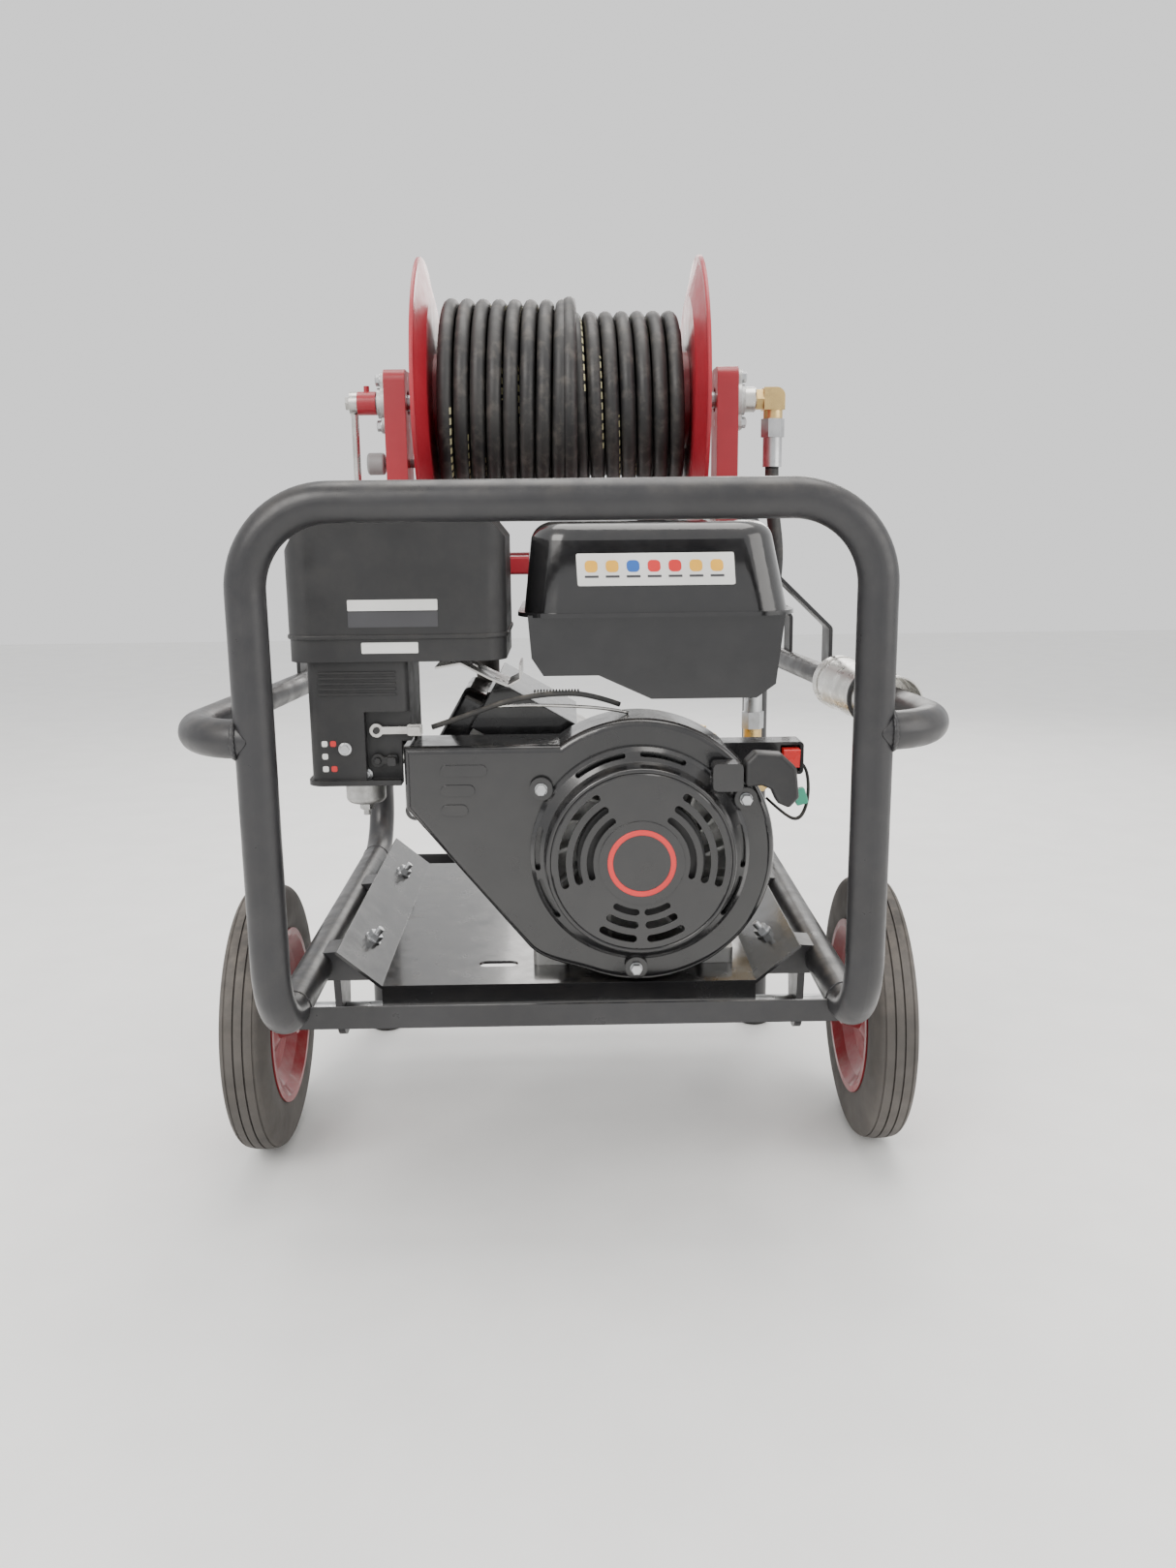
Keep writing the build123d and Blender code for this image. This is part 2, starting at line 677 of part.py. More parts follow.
with BuildPart() as fan_shroud:
    extrude(
        outer_outline.moved(Location((0, SHROUD_BACK_Y, 0))),
        amount=SHROUD_BACK_Y - SHROUD_Y,
        dir=(0, -1, 0),
    )
    front_edges = fan_shroud.faces().sort_by(Axis.Y)[0].edges()
    fillet(front_edges, 7)
    extrude(
        inner_outline.moved(Location((0, SHROUD_BACK_Y, 0))),
        amount=SHROUD_BACK_Y - SHROUD_Y - SHROUD_T,
        dir=(0, -1, 0),
        mode=Mode.SUBTRACT,
    )
    with BuildSketch(front_plane(SHROUD_Y + 2 * SHROUD_T)):
        with Locations((CRANK_X, CRANK_Z)):
            Circle(INLET_R)
    extrude(amount=5 * SHROUD_T, mode=Mode.SUBTRACT)
    with BuildSketch(front_plane(SHROUD_Y)):
        for low, width in ((476, 44), (457, 32), (438, 25)):
            with Locations((-118, low)):
                SlotOverall(width, 11, align=(Align.MIN, Align.CENTER))
    extrude(amount=1.6)
    with BuildSketch(front_plane(SHROUD_Y)):
        with Locations(*recoil_bolt_spots):
            Circle(8)
    extrude(amount=3)
    with BuildSketch(front_plane(SHROUD_BACK_Y)):
        with Locations((SWITCH_BOX_END_X - SWITCH_BOX_W / 2, SWITCH_Z)):
            RectangleRounded(SWITCH_BOX_W, 32, 4)
        with Locations(LOW_LEFT_EAR):
            Circle(10)
    extrude(amount=SWITCH_BOX_DEPTH)
    with BuildSketch(front_plane(SHROUD_BACK_Y - SWITCH_BOX_DEPTH)):
        with Locations((SWITCH_X, SWITCH_Z)):
            Rectangle(19, 26)
    extrude(amount=-12, mode=Mode.SUBTRACT)
    with BuildSketch(front_plane(SHROUD_BACK_Y - SWITCH_BOX_DEPTH)):
        with Locations(LOW_LEFT_EAR):
            Circle(12)
    extrude(amount=-10, mode=Mode.SUBTRACT)
    with BuildSketch(side_plane(SWITCH_X - 13)):
        with Locations((SWITCH_PIVOT_Y, SWITCH_Z)):
            Circle(SWITCH_PIN_R + RUNNING)
    extrude(amount=27, mode=Mode.SUBTRACT)
    with BuildSketch(front_plane(SHROUD_BACK_Y)):
        with Locations(LOW_LEFT_EAR, *recoil_bolt_spots):
            Circle(SMALL_BOLT_R + 0.1)
    extrude(amount=SHROUD_BACK_Y - SHROUD_Y + 5, mode=Mode.SUBTRACT)

fan_shroud.part.label = "fan_shroud"
export_step(fan_shroud.part, "parts/fan_shroud.step")

# The starter housing: a shallow cup with rings of arc slots.
CUP_R = 104.0
CUP_FRONT_R = 88.0
CUP_WALL = 2.5
PULLEY_R = 55.0
POST_R = 8.0
PULLEY_Y = (-256.0, -240.0)
GUIDE_DX = 80.0
GUIDE_Z = 472.0
GRIP_T = 22.0
GRIP_OUTLINE = [
    (165, 486),
    (174, 495),
    (198, 493),
    (212, 480),
    (215, 452),
    (206, 442),
    (195, 447),
    (189, 460),
    (180, 464),
    (165, 462),
]


def arc_slots(radius, width, start, sweep_angle, count, gap):
    """Arc-shaped slots in one ring round the crankshaft, as a sketch to be added."""
    step = sweep_angle / count
    arcs = [
        CenterArc((CRANK_X, CRANK_Z), radius, start + n * step + gap / 2, step - gap)
        for n in range(count)
    ]
    with BuildSketch() as made:
        for arc in arcs:
            SlotArc(arc, width)
    return made.sketch


cup_slots = []
for slot_ring, slot_w in ((48, 6), (60.5, 7), (74, 7)):
    cup_slots.append(arc_slots(slot_ring, slot_w, 118, 84, 1, 12))
    cup_slots.append(arc_slots(slot_ring, slot_w, -22, 84, 1, 12))
    cup_slots.append(arc_slots(slot_ring, slot_w, 234, 72, 2, 13))
rim_slots = [
    arc_slots(97.5, 5, 62, 30, 1, 7),
    arc_slots(97.5, 5, 96, 34, 1, 7),
    arc_slots(97.5, 5, 160, 60, 2, 8),
    arc_slots(97.5, 5, -40, 60, 2, 8),
]

with BuildPart() as recoil_housing:
    with BuildSketch(Plane.XY.offset(CRANK_Z)):
        with BuildLine():
            Polyline(
                (CRANK_X, RECOIL_Y),
                (CRANK_X + CUP_FRONT_R - 5, RECOIL_Y),
                (CRANK_X + CUP_FRONT_R, RECOIL_Y + 5),
                (CRANK_X + CUP_FRONT_R + 3, SHROUD_Y - 14),
                (CRANK_X + CUP_R - 4, SHROUD_Y - 10),
                (CRANK_X + CUP_R, SHROUD_Y - 6),
                (CRANK_X + CUP_R, SHROUD_Y),
                (CRANK_X + CUP_R - CUP_WALL, SHROUD_Y),
                (CRANK_X + CUP_R - 6, SHROUD_Y - 7.5),
                (CRANK_X + CUP_FRONT_R, SHROUD_Y - 11),
                (CRANK_X + CUP_FRONT_R - 5, RECOIL_Y + CUP_WALL),
                (CRANK_X, RECOIL_Y + CUP_WALL),
                close=True,
            )
        make_face()
    revolve(axis=crank_axis)
    with BuildSketch(front_plane(SHROUD_Y - 3)):
        with Locations(*recoil_bolt_spots):
            Circle(11)
    extrude(amount=5)
    with BuildSketch(front_plane(RECOIL_Y + CUP_WALL)):
        for slots in cup_slots:
            add(slots)
    extrude(amount=2 * CUP_WALL, mode=Mode.SUBTRACT)
    with BuildSketch(front_plane(SHROUD_Y)):
        for slots in rim_slots:
            add(slots)
    extrude(amount=20, mode=Mode.SUBTRACT)
    with BuildSketch(front_plane(RECOIL_Y + CUP_WALL)):
        with Locations((CRANK_X, CRANK_Z)):
            Circle(40)
    extrude(amount=CUP_WALL + 1.5)
    with BuildSketch(front_plane(PULLEY_Y[1] + 2)):
        with Locations((CRANK_X, CRANK_Z)):
            Circle(POST_R)
    extrude(amount=PULLEY_Y[1] + 2 - RECOIL_Y - 1)
    with BuildSketch(front_plane(SHROUD_Y - 8)):
        with Locations((CRANK_X + GUIDE_DX, GUIDE_Z)):
            RectangleRounded(28, 26, 5)
    extrude(amount=22)
    with BuildSketch(front_plane(SHROUD_Y)):
        with Locations(*recoil_bolt_spots):
            Circle(SMALL_BOLT_R + 0.1)
    extrude(amount=20, mode=Mode.SUBTRACT)

recoil_housing.part.label = "recoil_housing"
export_step(recoil_housing.part, "parts/recoil_housing.step")

with BuildPart() as engine_bolts:
    for x, z in recoil_bolt_spots:
        bolt_place = front_plane(SHROUD_Y - 8).shift_origin((x, SHROUD_Y - 8, z))
        add(hex_bolt(bolt_place, 10, 5, SMALL_BOLT_R, 14, 6))
    x, z = LOW_LEFT_EAR
    ear_y = SHROUD_BACK_Y - SWITCH_BOX_DEPTH + 10
    add(hex_bolt(front_plane(ear_y).shift_origin((x, ear_y, z)), 10, 5, SMALL_BOLT_R, 14, 6))

engine_bolts.part.label = "engine_bolts"
export_step(engine_bolts.part, "parts/engine_bolts.step")

# Rotating parts: crankshaft and flywheel turn together.
FLYWHEEL_R = 96.0
FLYWHEEL_Y = (-196.0, -172.0)
BLADE_COUNT = 16
BLADE_FRONT_Y = -222.0
SHAFT_END_Y = 126.0

with BuildPart() as crankshaft:
    with BuildSketch(front_plane(SHAFT_END_Y)):
        with Locations((CRANK_X, CRANK_Z)):
            Circle(SHAFT_R)
    extrude(amount=SHAFT_END_Y - FLYWHEEL_Y[0] + 6)
    for web_y in (CYL_Y - 22, CYL_Y + 36):
        with BuildSketch(front_plane(web_y)):
            with Locations((CRANK_X, CRANK_Z)):
                Circle(58)
        extrude(amount=14)
    chamfer(crankshaft.edges().filter_by(GeomType.CIRCLE).sort_by(Axis.Y)[-1], 1.5)

crankshaft.part.label = "crankshaft"
export_step(crankshaft.part, "parts/crankshaft.step")

with BuildPart() as flywheel:
    with BuildSketch(front_plane(FLYWHEEL_Y[1])):
        with Locations((CRANK_X, CRANK_Z)):
            Circle(FLYWHEEL_R)
            Circle(FLYWHEEL_R - 14, mode=Mode.SUBTRACT)
    extrude(amount=FLYWHEEL_Y[1] - FLYWHEEL_Y[0])
    with BuildSketch(front_plane(FLYWHEEL_Y[0] + 7)):
        with Locations((CRANK_X, CRANK_Z)):
            Circle(FLYWHEEL_R)
            Circle(SHAFT_R, mode=Mode.SUBTRACT)
    extrude(amount=7)
    with BuildSketch(front_plane(FLYWHEEL_Y[0])):
        with Locations((CRANK_X, CRANK_Z)):
            with PolarLocations(76, BLADE_COUNT):
                with Locations(Location((0, 0, 0), (0, 0, 1), 24)):
                    Rectangle(32, 3.5)
    extrude(amount=FLYWHEEL_Y[0] - BLADE_FRONT_Y)

flywheel.part.label = "flywheel"
export_step(flywheel.part, "parts/flywheel.step")

with BuildPart() as recoil_pulley:
    with BuildSketch(Plane.XY.offset(CRANK_Z)):
        with BuildLine():
            Polyline(
                (CRANK_X + POST_R + RUNNING, PULLEY_Y[0]),
                (CRANK_X + PULLEY_R + 5, PULLEY_Y[0]),
                (CRANK_X + PULLEY_R + 5, PULLEY_Y[0] + 3),
                (CRANK_X + PULLEY_R, PULLEY_Y[0] + 4),
                (CRANK_X + PULLEY_R, PULLEY_Y[1] - 4),
                (CRANK_X + PULLEY_R + 5, PULLEY_Y[1] - 3),
                (CRANK_X + PULLEY_R + 5, PULLEY_Y[1]),
                (CRANK_X + POST_R + RUNNING, PULLEY_Y[1]),
                close=True,
            )
        make_face()
    revolve(axis=crank_axis)

recoil_pulley.part.label = "recoil_pulley"
export_step(recoil_pulley.part, "parts/recoil_pulley.step")

with BuildPart() as recoil_grip:
    with BuildSketch(front_plane(SHROUD_Y - 8)):
        Polygon(*GRIP_OUTLINE, align=None)
    extrude(amount=GRIP_T)
    fillet(recoil_grip.edges().filter_by(Axis.Y), 4)
    fillet(recoil_grip.faces().sort_by(Axis.Y)[0].edges(), 4)
    fillet(recoil_grip.faces().sort_by(Axis.Y)[-1].edges(), 4)

recoil_grip.part.label = "recoil_grip"
export_step(recoil_grip.part, "parts/recoil_grip.step")

with BuildPart() as stop_switch:
    with BuildSketch(side_plane(SWITCH_X - 8)):
        Polygon(
            (SWITCH_PIVOT_Y + 2, SWITCH_Z - 8),
            (SWITCH_PIVOT_Y + 2, SWITCH_Z + 10),
            (SWITCH_PIVOT_Y - 15, SWITCH_Z + 10),
            (SWITCH_PIVOT_Y - 10, SWITCH_Z - 8),
            align=None,
        )
    extrude(amount=16)
    fillet(stop_switch.edges().group_by(Axis.Y)[0], 1.5)
    with BuildSketch(side_plane(SWITCH_X - 12)):
        with Locations((SWITCH_PIVOT_Y, SWITCH_Z)):
            Circle(SWITCH_PIN_R)
    extrude(amount=24)

stop_switch.part.label = "stop_switch"
export_step(stop_switch.part, "parts/stop_switch.step")

# Fuel tank: two pressings joined at a flange, deeper on the right.
TANK_X = 88.0
TANK_Y = -105.0
TANK_SEAM_Z = 618.0
TANK_TOP_Z = 703.0
TANK_T = 2.0
CAP_SPOT = (TANK_X + 8.0, TANK_Y + 18.0)
CAP_R = 30.0
NECK_R = 21.0


def tank_upper(inset):
    """The upper pressing's volume, drawn that far inside the sheet's outer face."""
    with BuildPart() as made:
        with BuildSketch(Plane.XY.offset(TANK_SEAM_Z)):
            with Locations((TANK_X, TANK_Y)):
                RectangleRounded(252 - 2 * inset, 208 - 2 * inset, 36 - inset)
        with BuildSketch(Plane.XY.offset(TANK_TOP_Z - inset)):
            with Locations((TANK_X - 4, TANK_Y)):
                RectangleRounded(226 - 2 * inset, 180 - 2 * inset, 35 - inset)
        loft()
        fillet(made.faces().sort_by(Axis.Z)[-1].edges(), 20 - inset)
    return made.part


def tank_lower(inset):
    """The lower pressing's volume, drawn that far inside the sheet's outer face."""
    left, right = TANK_X - 122 + inset, TANK_X + 120 - inset
    with BuildPart() as made:
        with BuildSketch(front_plane(TANK_Y + 100 - inset)):
            with BuildLine():
                Polyline(
                    (left, TANK_SEAM_Z),
                    (left + 3, 578 + inset),
                    (left + 14, 561 + inset),
                    (left + 66, 561 + inset),
                    (left + 116, 538 + inset),
                    (right - 26, 538 + inset),
                    (right - 8, 551 + inset),
                    (right, TANK_SEAM_Z),
                    close=True,
                )
            make_face()
        extrude(amount=200 - 2 * inset)
    return made.part


upper_skin = tank_upper(0)
upper_core = tank_upper(TANK_T)
lower_skin = tank_lower(0)
lower_core = tank_lower(TANK_T)

with BuildPart() as fuel_tank:
    add(upper_skin)
    add(lower_skin)
    with BuildSketch(Plane.XY.offset(TANK_SEAM_Z - 2)):
        with Locations((TANK_X, TANK_Y)):
            RectangleRounded(264, 220, 42)
    extrude(amount=4)
    with BuildSketch(Plane.XY.offset(TANK_TOP_Z - 6)):
        with Locations(CAP_SPOT):
            Circle(NECK_R)
    extrude(amount=13)
    add(upper_core, mode=Mode.SUBTRACT)
    add(lower_core, mode=Mode.SUBTRACT)
    with BuildSketch(Plane.XY.offset(TANK_TOP_Z - 8)):
        with Locations(CAP_SPOT):
            Circle(NECK_R - 2)
    extrude(amount=20, mode=Mode.SUBTRACT)

fuel_tank.part.label = "fuel_tank"
export_step(fuel_tank.part, "parts/fuel_tank.step")

with BuildPart() as fuel_cap:
    with BuildSketch(Plane.XY.offset(TANK_TOP_Z + 0.6)):
        with Locations(CAP_SPOT):
            Circle(CAP_R)
            with PolarLocations(CAP_R + 3, 10):
                Circle(5.5, mode=Mode.SUBTRACT)
    extrude(amount=18)
    with BuildSketch(Plane.XY.offset(TANK_TOP_Z + 0.6)):
        with Locations(CAP_SPOT):
            Circle(CAP_R - 4)
    extrude(amount=22)
    fillet(fuel_cap.edges().group_by(Axis.Z)[-1], 3)
    with BuildSketch(Plane.XY.offset(TANK_TOP_Z + 0.6)):
        with Locations(CAP_SPOT):
            Circle(NECK_R + 1)
    extrude(amount=16, mode=Mode.SUBTRACT)

fuel_cap.part.label = "fuel_cap"
export_step(fuel_cap.part, "parts/fuel_cap.step")

# Air filter: a base tray and a deep cover with chamfered shoulders.
FILTER_X = (-256.0, -53.0)
FILTER_Y = (-230.0, -84.0)
FILTER_Z = (579.0, 602.0, 705.0)     # bottom, seam, top
FILTER_T = 2.5
FILTER_CORNER = 24.0


def filter_box(low, high, inset, shoulders):
    """A rounded box of the filter, with sloping shoulders at the top where it is the cover."""
    left, right = FILTER_X[0] + inset, FILTER_X[1] - inset
    left_cut, right_cut = ((20, 26), (12, 14)) if shoulders else ((0.5, 0.5), (0.5, 0.5))
    with BuildPart() as made:
        with BuildSketch(front_plane(FILTER_Y[1] - inset)):
            with BuildLine():
                Polyline(
                    (left, low),
                    (left, high - left_cut[1]),
                    (left + left_cut[0], high),
                    (right - right_cut[0], high),
                    (right, high - right_cut[1]),
                    (right, low),
                    close=True,
                )
            make_face()
        extrude(amount=FILTER_Y[1] - FILTER_Y[0] - 2 * inset)
        with BuildSketch(Plane.XY.offset(low)):
            with Locations(((left + right) / 2, (FILTER_Y[0] + FILTER_Y[1]) / 2)):
                RectangleRounded(right - left, FILTER_Y[1] - FILTER_Y[0] - 2 * inset, FILTER_CORNER - inset)
        extrude(amount=high - low, mode=Mode.INTERSECT)
    return made.part


cover_skin = filter_box(FILTER_Z[1], FILTER_Z[2], 0, True)
cover_core = filter_box(FILTER_Z[1], FILTER_Z[2] - FILTER_T, FILTER_T, True)
tray_skin = filter_box(FILTER_Z[0], FILTER_Z[1], 0.8, False)
tray_core = filter_box(FILTER_Z[0] + FILTER_T, FILTER_Z[1], 0.8 + FILTER_T, False)

with BuildPart() as air_filter_cover:
    add(cover_skin)
    add(cover_core, mode=Mode.SUBTRACT)

air_filter_cover.part.label = "air_filter_cover"
export_step(air_filter_cover.part, "parts/air_filter_cover.step")

with BuildPart() as air_filter_base:
    add(tray_skin)
    add(tray_core, mode=Mode.SUBTRACT)
    with Locations((-150, -180, FILTER_Z[0] + FILTER_T)):
        Hole(18, depth=2 * FILTER_T)

air_filter_base.part.label = "air_filter_base"
export_step(air_filter_base.part, "parts/air_filter_base.step")

# Control housing in front of the carburettor, with its two levers.
CONTROL_X = (-240.0, -146.0)
CONTROL_Y = (-222.0, -126.0)
CONTROL_Z = (462.0, 578.5)
CONTROL_T = 3.0
LEVER_X = -178.0
LEVER_Y = (-216.0, -212.0)
CHOKE_Z = 513.0
FUEL_Z = 484.0
PIVOT_R = 3.0
INTAKE_Y = -149.0
INTAKE_Z = 482.0
INTAKE_R = 14.0

with BuildPart() as control_housing:
    with BuildSketch(Plane.XY.offset(CONTROL_Z[0])):
        with BuildLine():
            Polyline(
                (CONTROL_X[0], CONTROL_Y[1]),
                (CONTROL_X[0], CONTROL_Y[0]),
                (CONTROL_X[1], CONTROL_Y[0]),
                (CONTROL_X[1], CONTROL_Y[1]),
                close=True,
            )
        make_face()
    extrude(amount=CONTROL_Z[1] - CONTROL_Z[0])
    fillet(control_housing.edges().filter_by(Axis.Z).group_by(Axis.Y)[0], 9)
    with BuildSketch(Plane.XY.offset(CONTROL_Z[0])):
        with Locations(((CONTROL_X[0] + CONTROL_X[1]) / 2, CONTROL_Y[0] + 24)):
            RectangleRounded(CONTROL_X[1] - CONTROL_X[0] + 8, 56, 16)
    extrude(amount=5)
    with BuildSketch(front_plane(CONTROL_Y[0] + 12)):
        with Locations((LEVER_X - 10, (CHOKE_Z + FUEL_Z) / 2)):
            Rectangle(CONTROL_X[1] - LEVER_X + 20, 66, align=(Align.MIN, Align.CENTER))
    extrude(amount=14, mode=Mode.SUBTRACT)
    with BuildSketch(Plane.XY.offset(CONTROL_Z[0] - 1)):
        with Locations(((CONTROL_X[0] + CONTROL_X[1]) / 2, CONTROL_Y[1])):
            Rectangle(
                CONTROL_X[1] - CONTROL_X[0] - 2 * CONTROL_T,
                CONTROL_Y[1] - CONTROL_Y[0] - 12 - CONTROL_T,
                align=(Align.CENTER, Align.MAX),
            )
    extrude(amount=CONTROL_Z[1] - CONTROL_Z[0] + 1 - CONTROL_T, mode=Mode.SUBTRACT)
    with BuildSketch(front_plane(CONTROL_Y[0])):
        with Locations(((CONTROL_X[0] + CONTROL_X[1]) / 2, CONTROL_Z[1] - 20)):
            with GridLocations(0, 5, 1, 5):
                Rectangle(72, 2)
    extrude(amount=1.5)
    with BuildSketch(front_plane(CONTROL_Y[0] + 12)):
        with Locations((LEVER_X, CHOKE_Z), (LEVER_X, FUEL_Z)):
            Circle(PIVOT_R)
    extrude(amount=9)
    with BuildSketch(side_plane(CONTROL_X[1] + 1)):
        with Locations((INTAKE_Y, INTAKE_Z)):
            Circle(INTAKE_R + 1)
    extrude(amount=-8, mode=Mode.SUBTRACT)
    with BuildSketch(front_plane(CONTROL_Y[1] - 37)):
        with Locations((SHROUD_LEFT_X - 3, SHROUD_TOP_Z + 3)):
            Rectangle(40, 60, align=(Align.MIN, Align.MAX))
    extrude(amount=80, mode=Mode.SUBTRACT)

control_housing.part.label = "control_housing"
export_step(control_housing.part, "parts/control_housing.step")


def lever_part(pivot_z, reach, tab):
    """A flat lever on one of the control housing's pivots, pointing right."""
    with BuildPart() as made:
        with BuildSketch(front_plane(LEVER_Y[1])):
            with Locations((LEVER_X, pivot_z)):
                Circle(6.5)
                Rectangle(reach, 7, align=(Align.MIN, Align.CENTER))
            with Locations((LEVER_X + reach, pivot_z)):
                RectangleRounded(tab, 11, 2)
            with Locations((LEVER_X, pivot_z)):
                Circle(PIVOT_R + RUNNING, mode=Mode.SUBTRACT)
        extrude(amount=LEVER_Y[1] - LEVER_Y[0])
        with BuildSketch(front_plane(LEVER_Y[0])):
            with Locations((LEVER_X + reach, pivot_z)):
                RectangleRounded(tab - 2, 8, 2)
        extrude(amount=7)
    return made.part


with BuildPart() as choke_lever:
    add(lever_part(CHOKE_Z, 36, 14))

choke_lever.part.label = "choke_lever"
export_step(choke_lever.part, "parts/choke_lever.step")

with BuildPart() as fuel_lever:
    add(lever_part(FUEL_Z, 14, 10))

fuel_lever.part.label = "fuel_lever"
export_step(fuel_lever.part, "parts/fuel_lever.step")

# Carburettor, its float bowl and the intake pipe to the head.
CARB = (-198.0, -168.0)
BOWL_R = 19.5
BOWL_Z = (434.0, 458.0)

with BuildPart() as carburettor:
    with BuildSketch(Plane.XY.offset(BOWL_Z[1])):
        with Locations(CARB):
            RectangleRounded(44, 44, 10)
    extrude(amount=34)
    with BuildSketch(side_plane(CARB[0] + 16)):
        with Locations((INTAKE_Y, INTAKE_Z)):
            Circle(INTAKE_R)
            Circle(INTAKE_R - 4, mode=Mode.SUBTRACT)
    extrude(amount=66)
    with BuildSketch(front_plane(CARB[1] + 22)):
        with Locations((CARB[0], 480)):
            Circle(15)
    extrude(amount=-10)

carburettor.part.label = "carburettor"
export_step(carburettor.part, "parts/carburettor.step")

with BuildPart() as float_bowl:
    with BuildSketch(Plane.XY.offset(BOWL_Z[0])):
        with Locations(CARB):
            Circle(BOWL_R)
    extrude(amount=BOWL_Z[1] - BOWL_Z[0])
    fillet(float_bowl.edges().filter_by(GeomType.CIRCLE).group_by(Axis.Z)[0], 6)
    with BuildSketch(Plane.XY.offset(BOWL_Z[1])):
        with Locations(CARB):
            Circle(BOWL_R - 1.5)
    extrude(amount=6 - BOWL_Z[1] + BOWL_Z[0], mode=Mode.SUBTRACT)
    with BuildSketch(Plane.XY.offset(BOWL_Z[0] + 2)):
        with Locations(CARB):
            RegularPolygon(7, 6)
    extrude(amount=-9)
    with BuildSketch(Plane.XY.offset(BOWL_Z[0] - 7)):
        with Locations(CARB):
            Circle(3.5)
    extrude(amount=-6)

float_bowl.part.label = "float_bowl"
export_step(float_bowl.part, "parts/float_bowl.step")

MUFFLER_X = (-236.0, -70.0)
MUFFLER_Y = (-58.0, 56.0)
MUFFLER_Z = (562.0, 636.0)
exhaust_pipe = swept([(-88, 17.5, 496), (-88, 46, 496), (-88, 46, 570)], [24], 13)

with BuildPart() as muffler:
    with BuildSketch(side_plane(MUFFLER_X[0])):
        with Locations(((MUFFLER_Y[0] + MUFFLER_Y[1]) / 2, (MUFFLER_Z[0] + MUFFLER_Z[1]) / 2)):
            RectangleRounded(MUFFLER_Y[1] - MUFFLER_Y[0], MUFFLER_Z[1] - MUFFLER_Z[0], 28)
    extrude(amount=MUFFLER_X[1] - MUFFLER_X[0])
    fillet(muffler.edges().group_by(Axis.X)[0], 8)
    fillet(muffler.edges().group_by(Axis.X)[-1], 8)
    with BuildSketch(side_plane(MUFFLER_X[0] + 3)):
        with Locations(((MUFFLER_Y[0] + MUFFLER_Y[1]) / 2, (MUFFLER_Z[0] + MUFFLER_Z[1]) / 2)):
            RectangleRounded(MUFFLER_Y[1] - MUFFLER_Y[0] - 5, MUFFLER_Z[1] - MUFFLER_Z[0] - 5, 25)
    extrude(amount=MUFFLER_X[1] - MUFFLER_X[0] - 6, mode=Mode.SUBTRACT)
    add(exhaust_pipe)
    with BuildSketch(side_plane(MUFFLER_X[0] - 14)):
        with Locations((MUFFLER_Y[1] - 30, MUFFLER_Z[0] + 26)):
            Circle(12)
            Circle(10, mode=Mode.SUBTRACT)
    extrude(amount=16)

muffler.part.label = "muffler"
export_step(muffler.part, "parts/muffler.step")

# Bright stamped bracket under the filter, carrying the speed control.
SHIELD_T = 2.0
SHIELD_Y = (-205.0, -145.0)
shield_top = [(-122, 570), (-98, 574), (-72, 560), (-54, 552), (-42, 558), (-42, 572)]

with BuildPart() as heat_shield:
    with BuildSketch(front_plane(SHIELD_Y[1])):
        with BuildLine():
            FilletPolyline(*shield_top, radius=3)
        trace(line_width=SHIELD_T)
    extrude(amount=SHIELD_Y[1] - SHIELD_Y[0])
    with Locations((-86, -175, 568), (-62, -190, 558)):
        Hole(5, depth=20)

heat_shield.part.label = "heat_shield"
export_step(heat_shield.part, "parts/heat_shield.step")

# ------------------------------------------------------------------ pump
PUMP_BLOCK_X = (18.0, 128.0)
PUMP_BLOCK_Y = (66.0, 166.0)
PUMP_BLOCK_Z = (342.0, 448.0)
HEAD_X = (128.0, 190.0)
HEAD_Y = (72.0, 160.0)
HEAD_Z = (357.0, 441.0)
VALVE_YS = (88.0, 116.0, 144.0)
OUTLET = (228.0, 132.0)
OUTLET_TOP_Z = 451.4
UNLOADER_X = (190.0, 246.0)
UNLOADER_Y = (112.0, 152.0)
UNLOADER_Z = (376.0, 424.0)
STEM_R = 6.0


def block(x, y, z):
    """A plain block given by its three ranges."""
    with BuildPart() as made:
        with BuildSketch(Plane.XY.offset(z[0])):
            with Locations(((x[0] + x[1]) / 2, (y[0] + y[1]) / 2)):
                Rectangle(x[1] - x[0], y[1] - y[0])
        extrude(amount=z[1] - z[0])
    return made.part


with BuildPart() as pump_body:
    add(block(PUMP_BLOCK_X, PUMP_BLOCK_Y, PUMP_BLOCK_Z))
    fillet(pump_body.edges().filter_by(Axis.Y), 14)
    with BuildSketch(front_plane(PUMP_BLOCK_Y[0] + 2)):
        with Locations((CRANK_X, CRANK_Z)):
            Circle(56)
    extrude(amount=PUMP_BLOCK_Y[0] + 2 - PTO_Y)
    with BuildSketch(front_plane(SHAFT_END_Y + 4)):
        with Locations((CRANK_X, CRANK_Z)):
            Circle(SHAFT_R + RUNNING)
    extrude(amount=SHAFT_END_Y + 4 - PTO_Y, mode=Mode.SUBTRACT)
    with BuildSketch(front_plane(PUMP_BLOCK_Y[1] + 8)):
        with Locations((CRANK_X, CRANK_Z)):
            Circle(30)
            with PolarLocations(40, 4, start_angle=45):
                Circle(6)
    extrude(amount=9)
    with BuildSketch(Plane.XY.offset(PUMP_BLOCK_Z[1] - 1)):
        with Locations((CRANK_X, 130)):
            Circle(11)
    extrude(amount=16)

pump_body.part.label = "pump_body"
export_step(pump_body.part, "parts/pump_body.step")

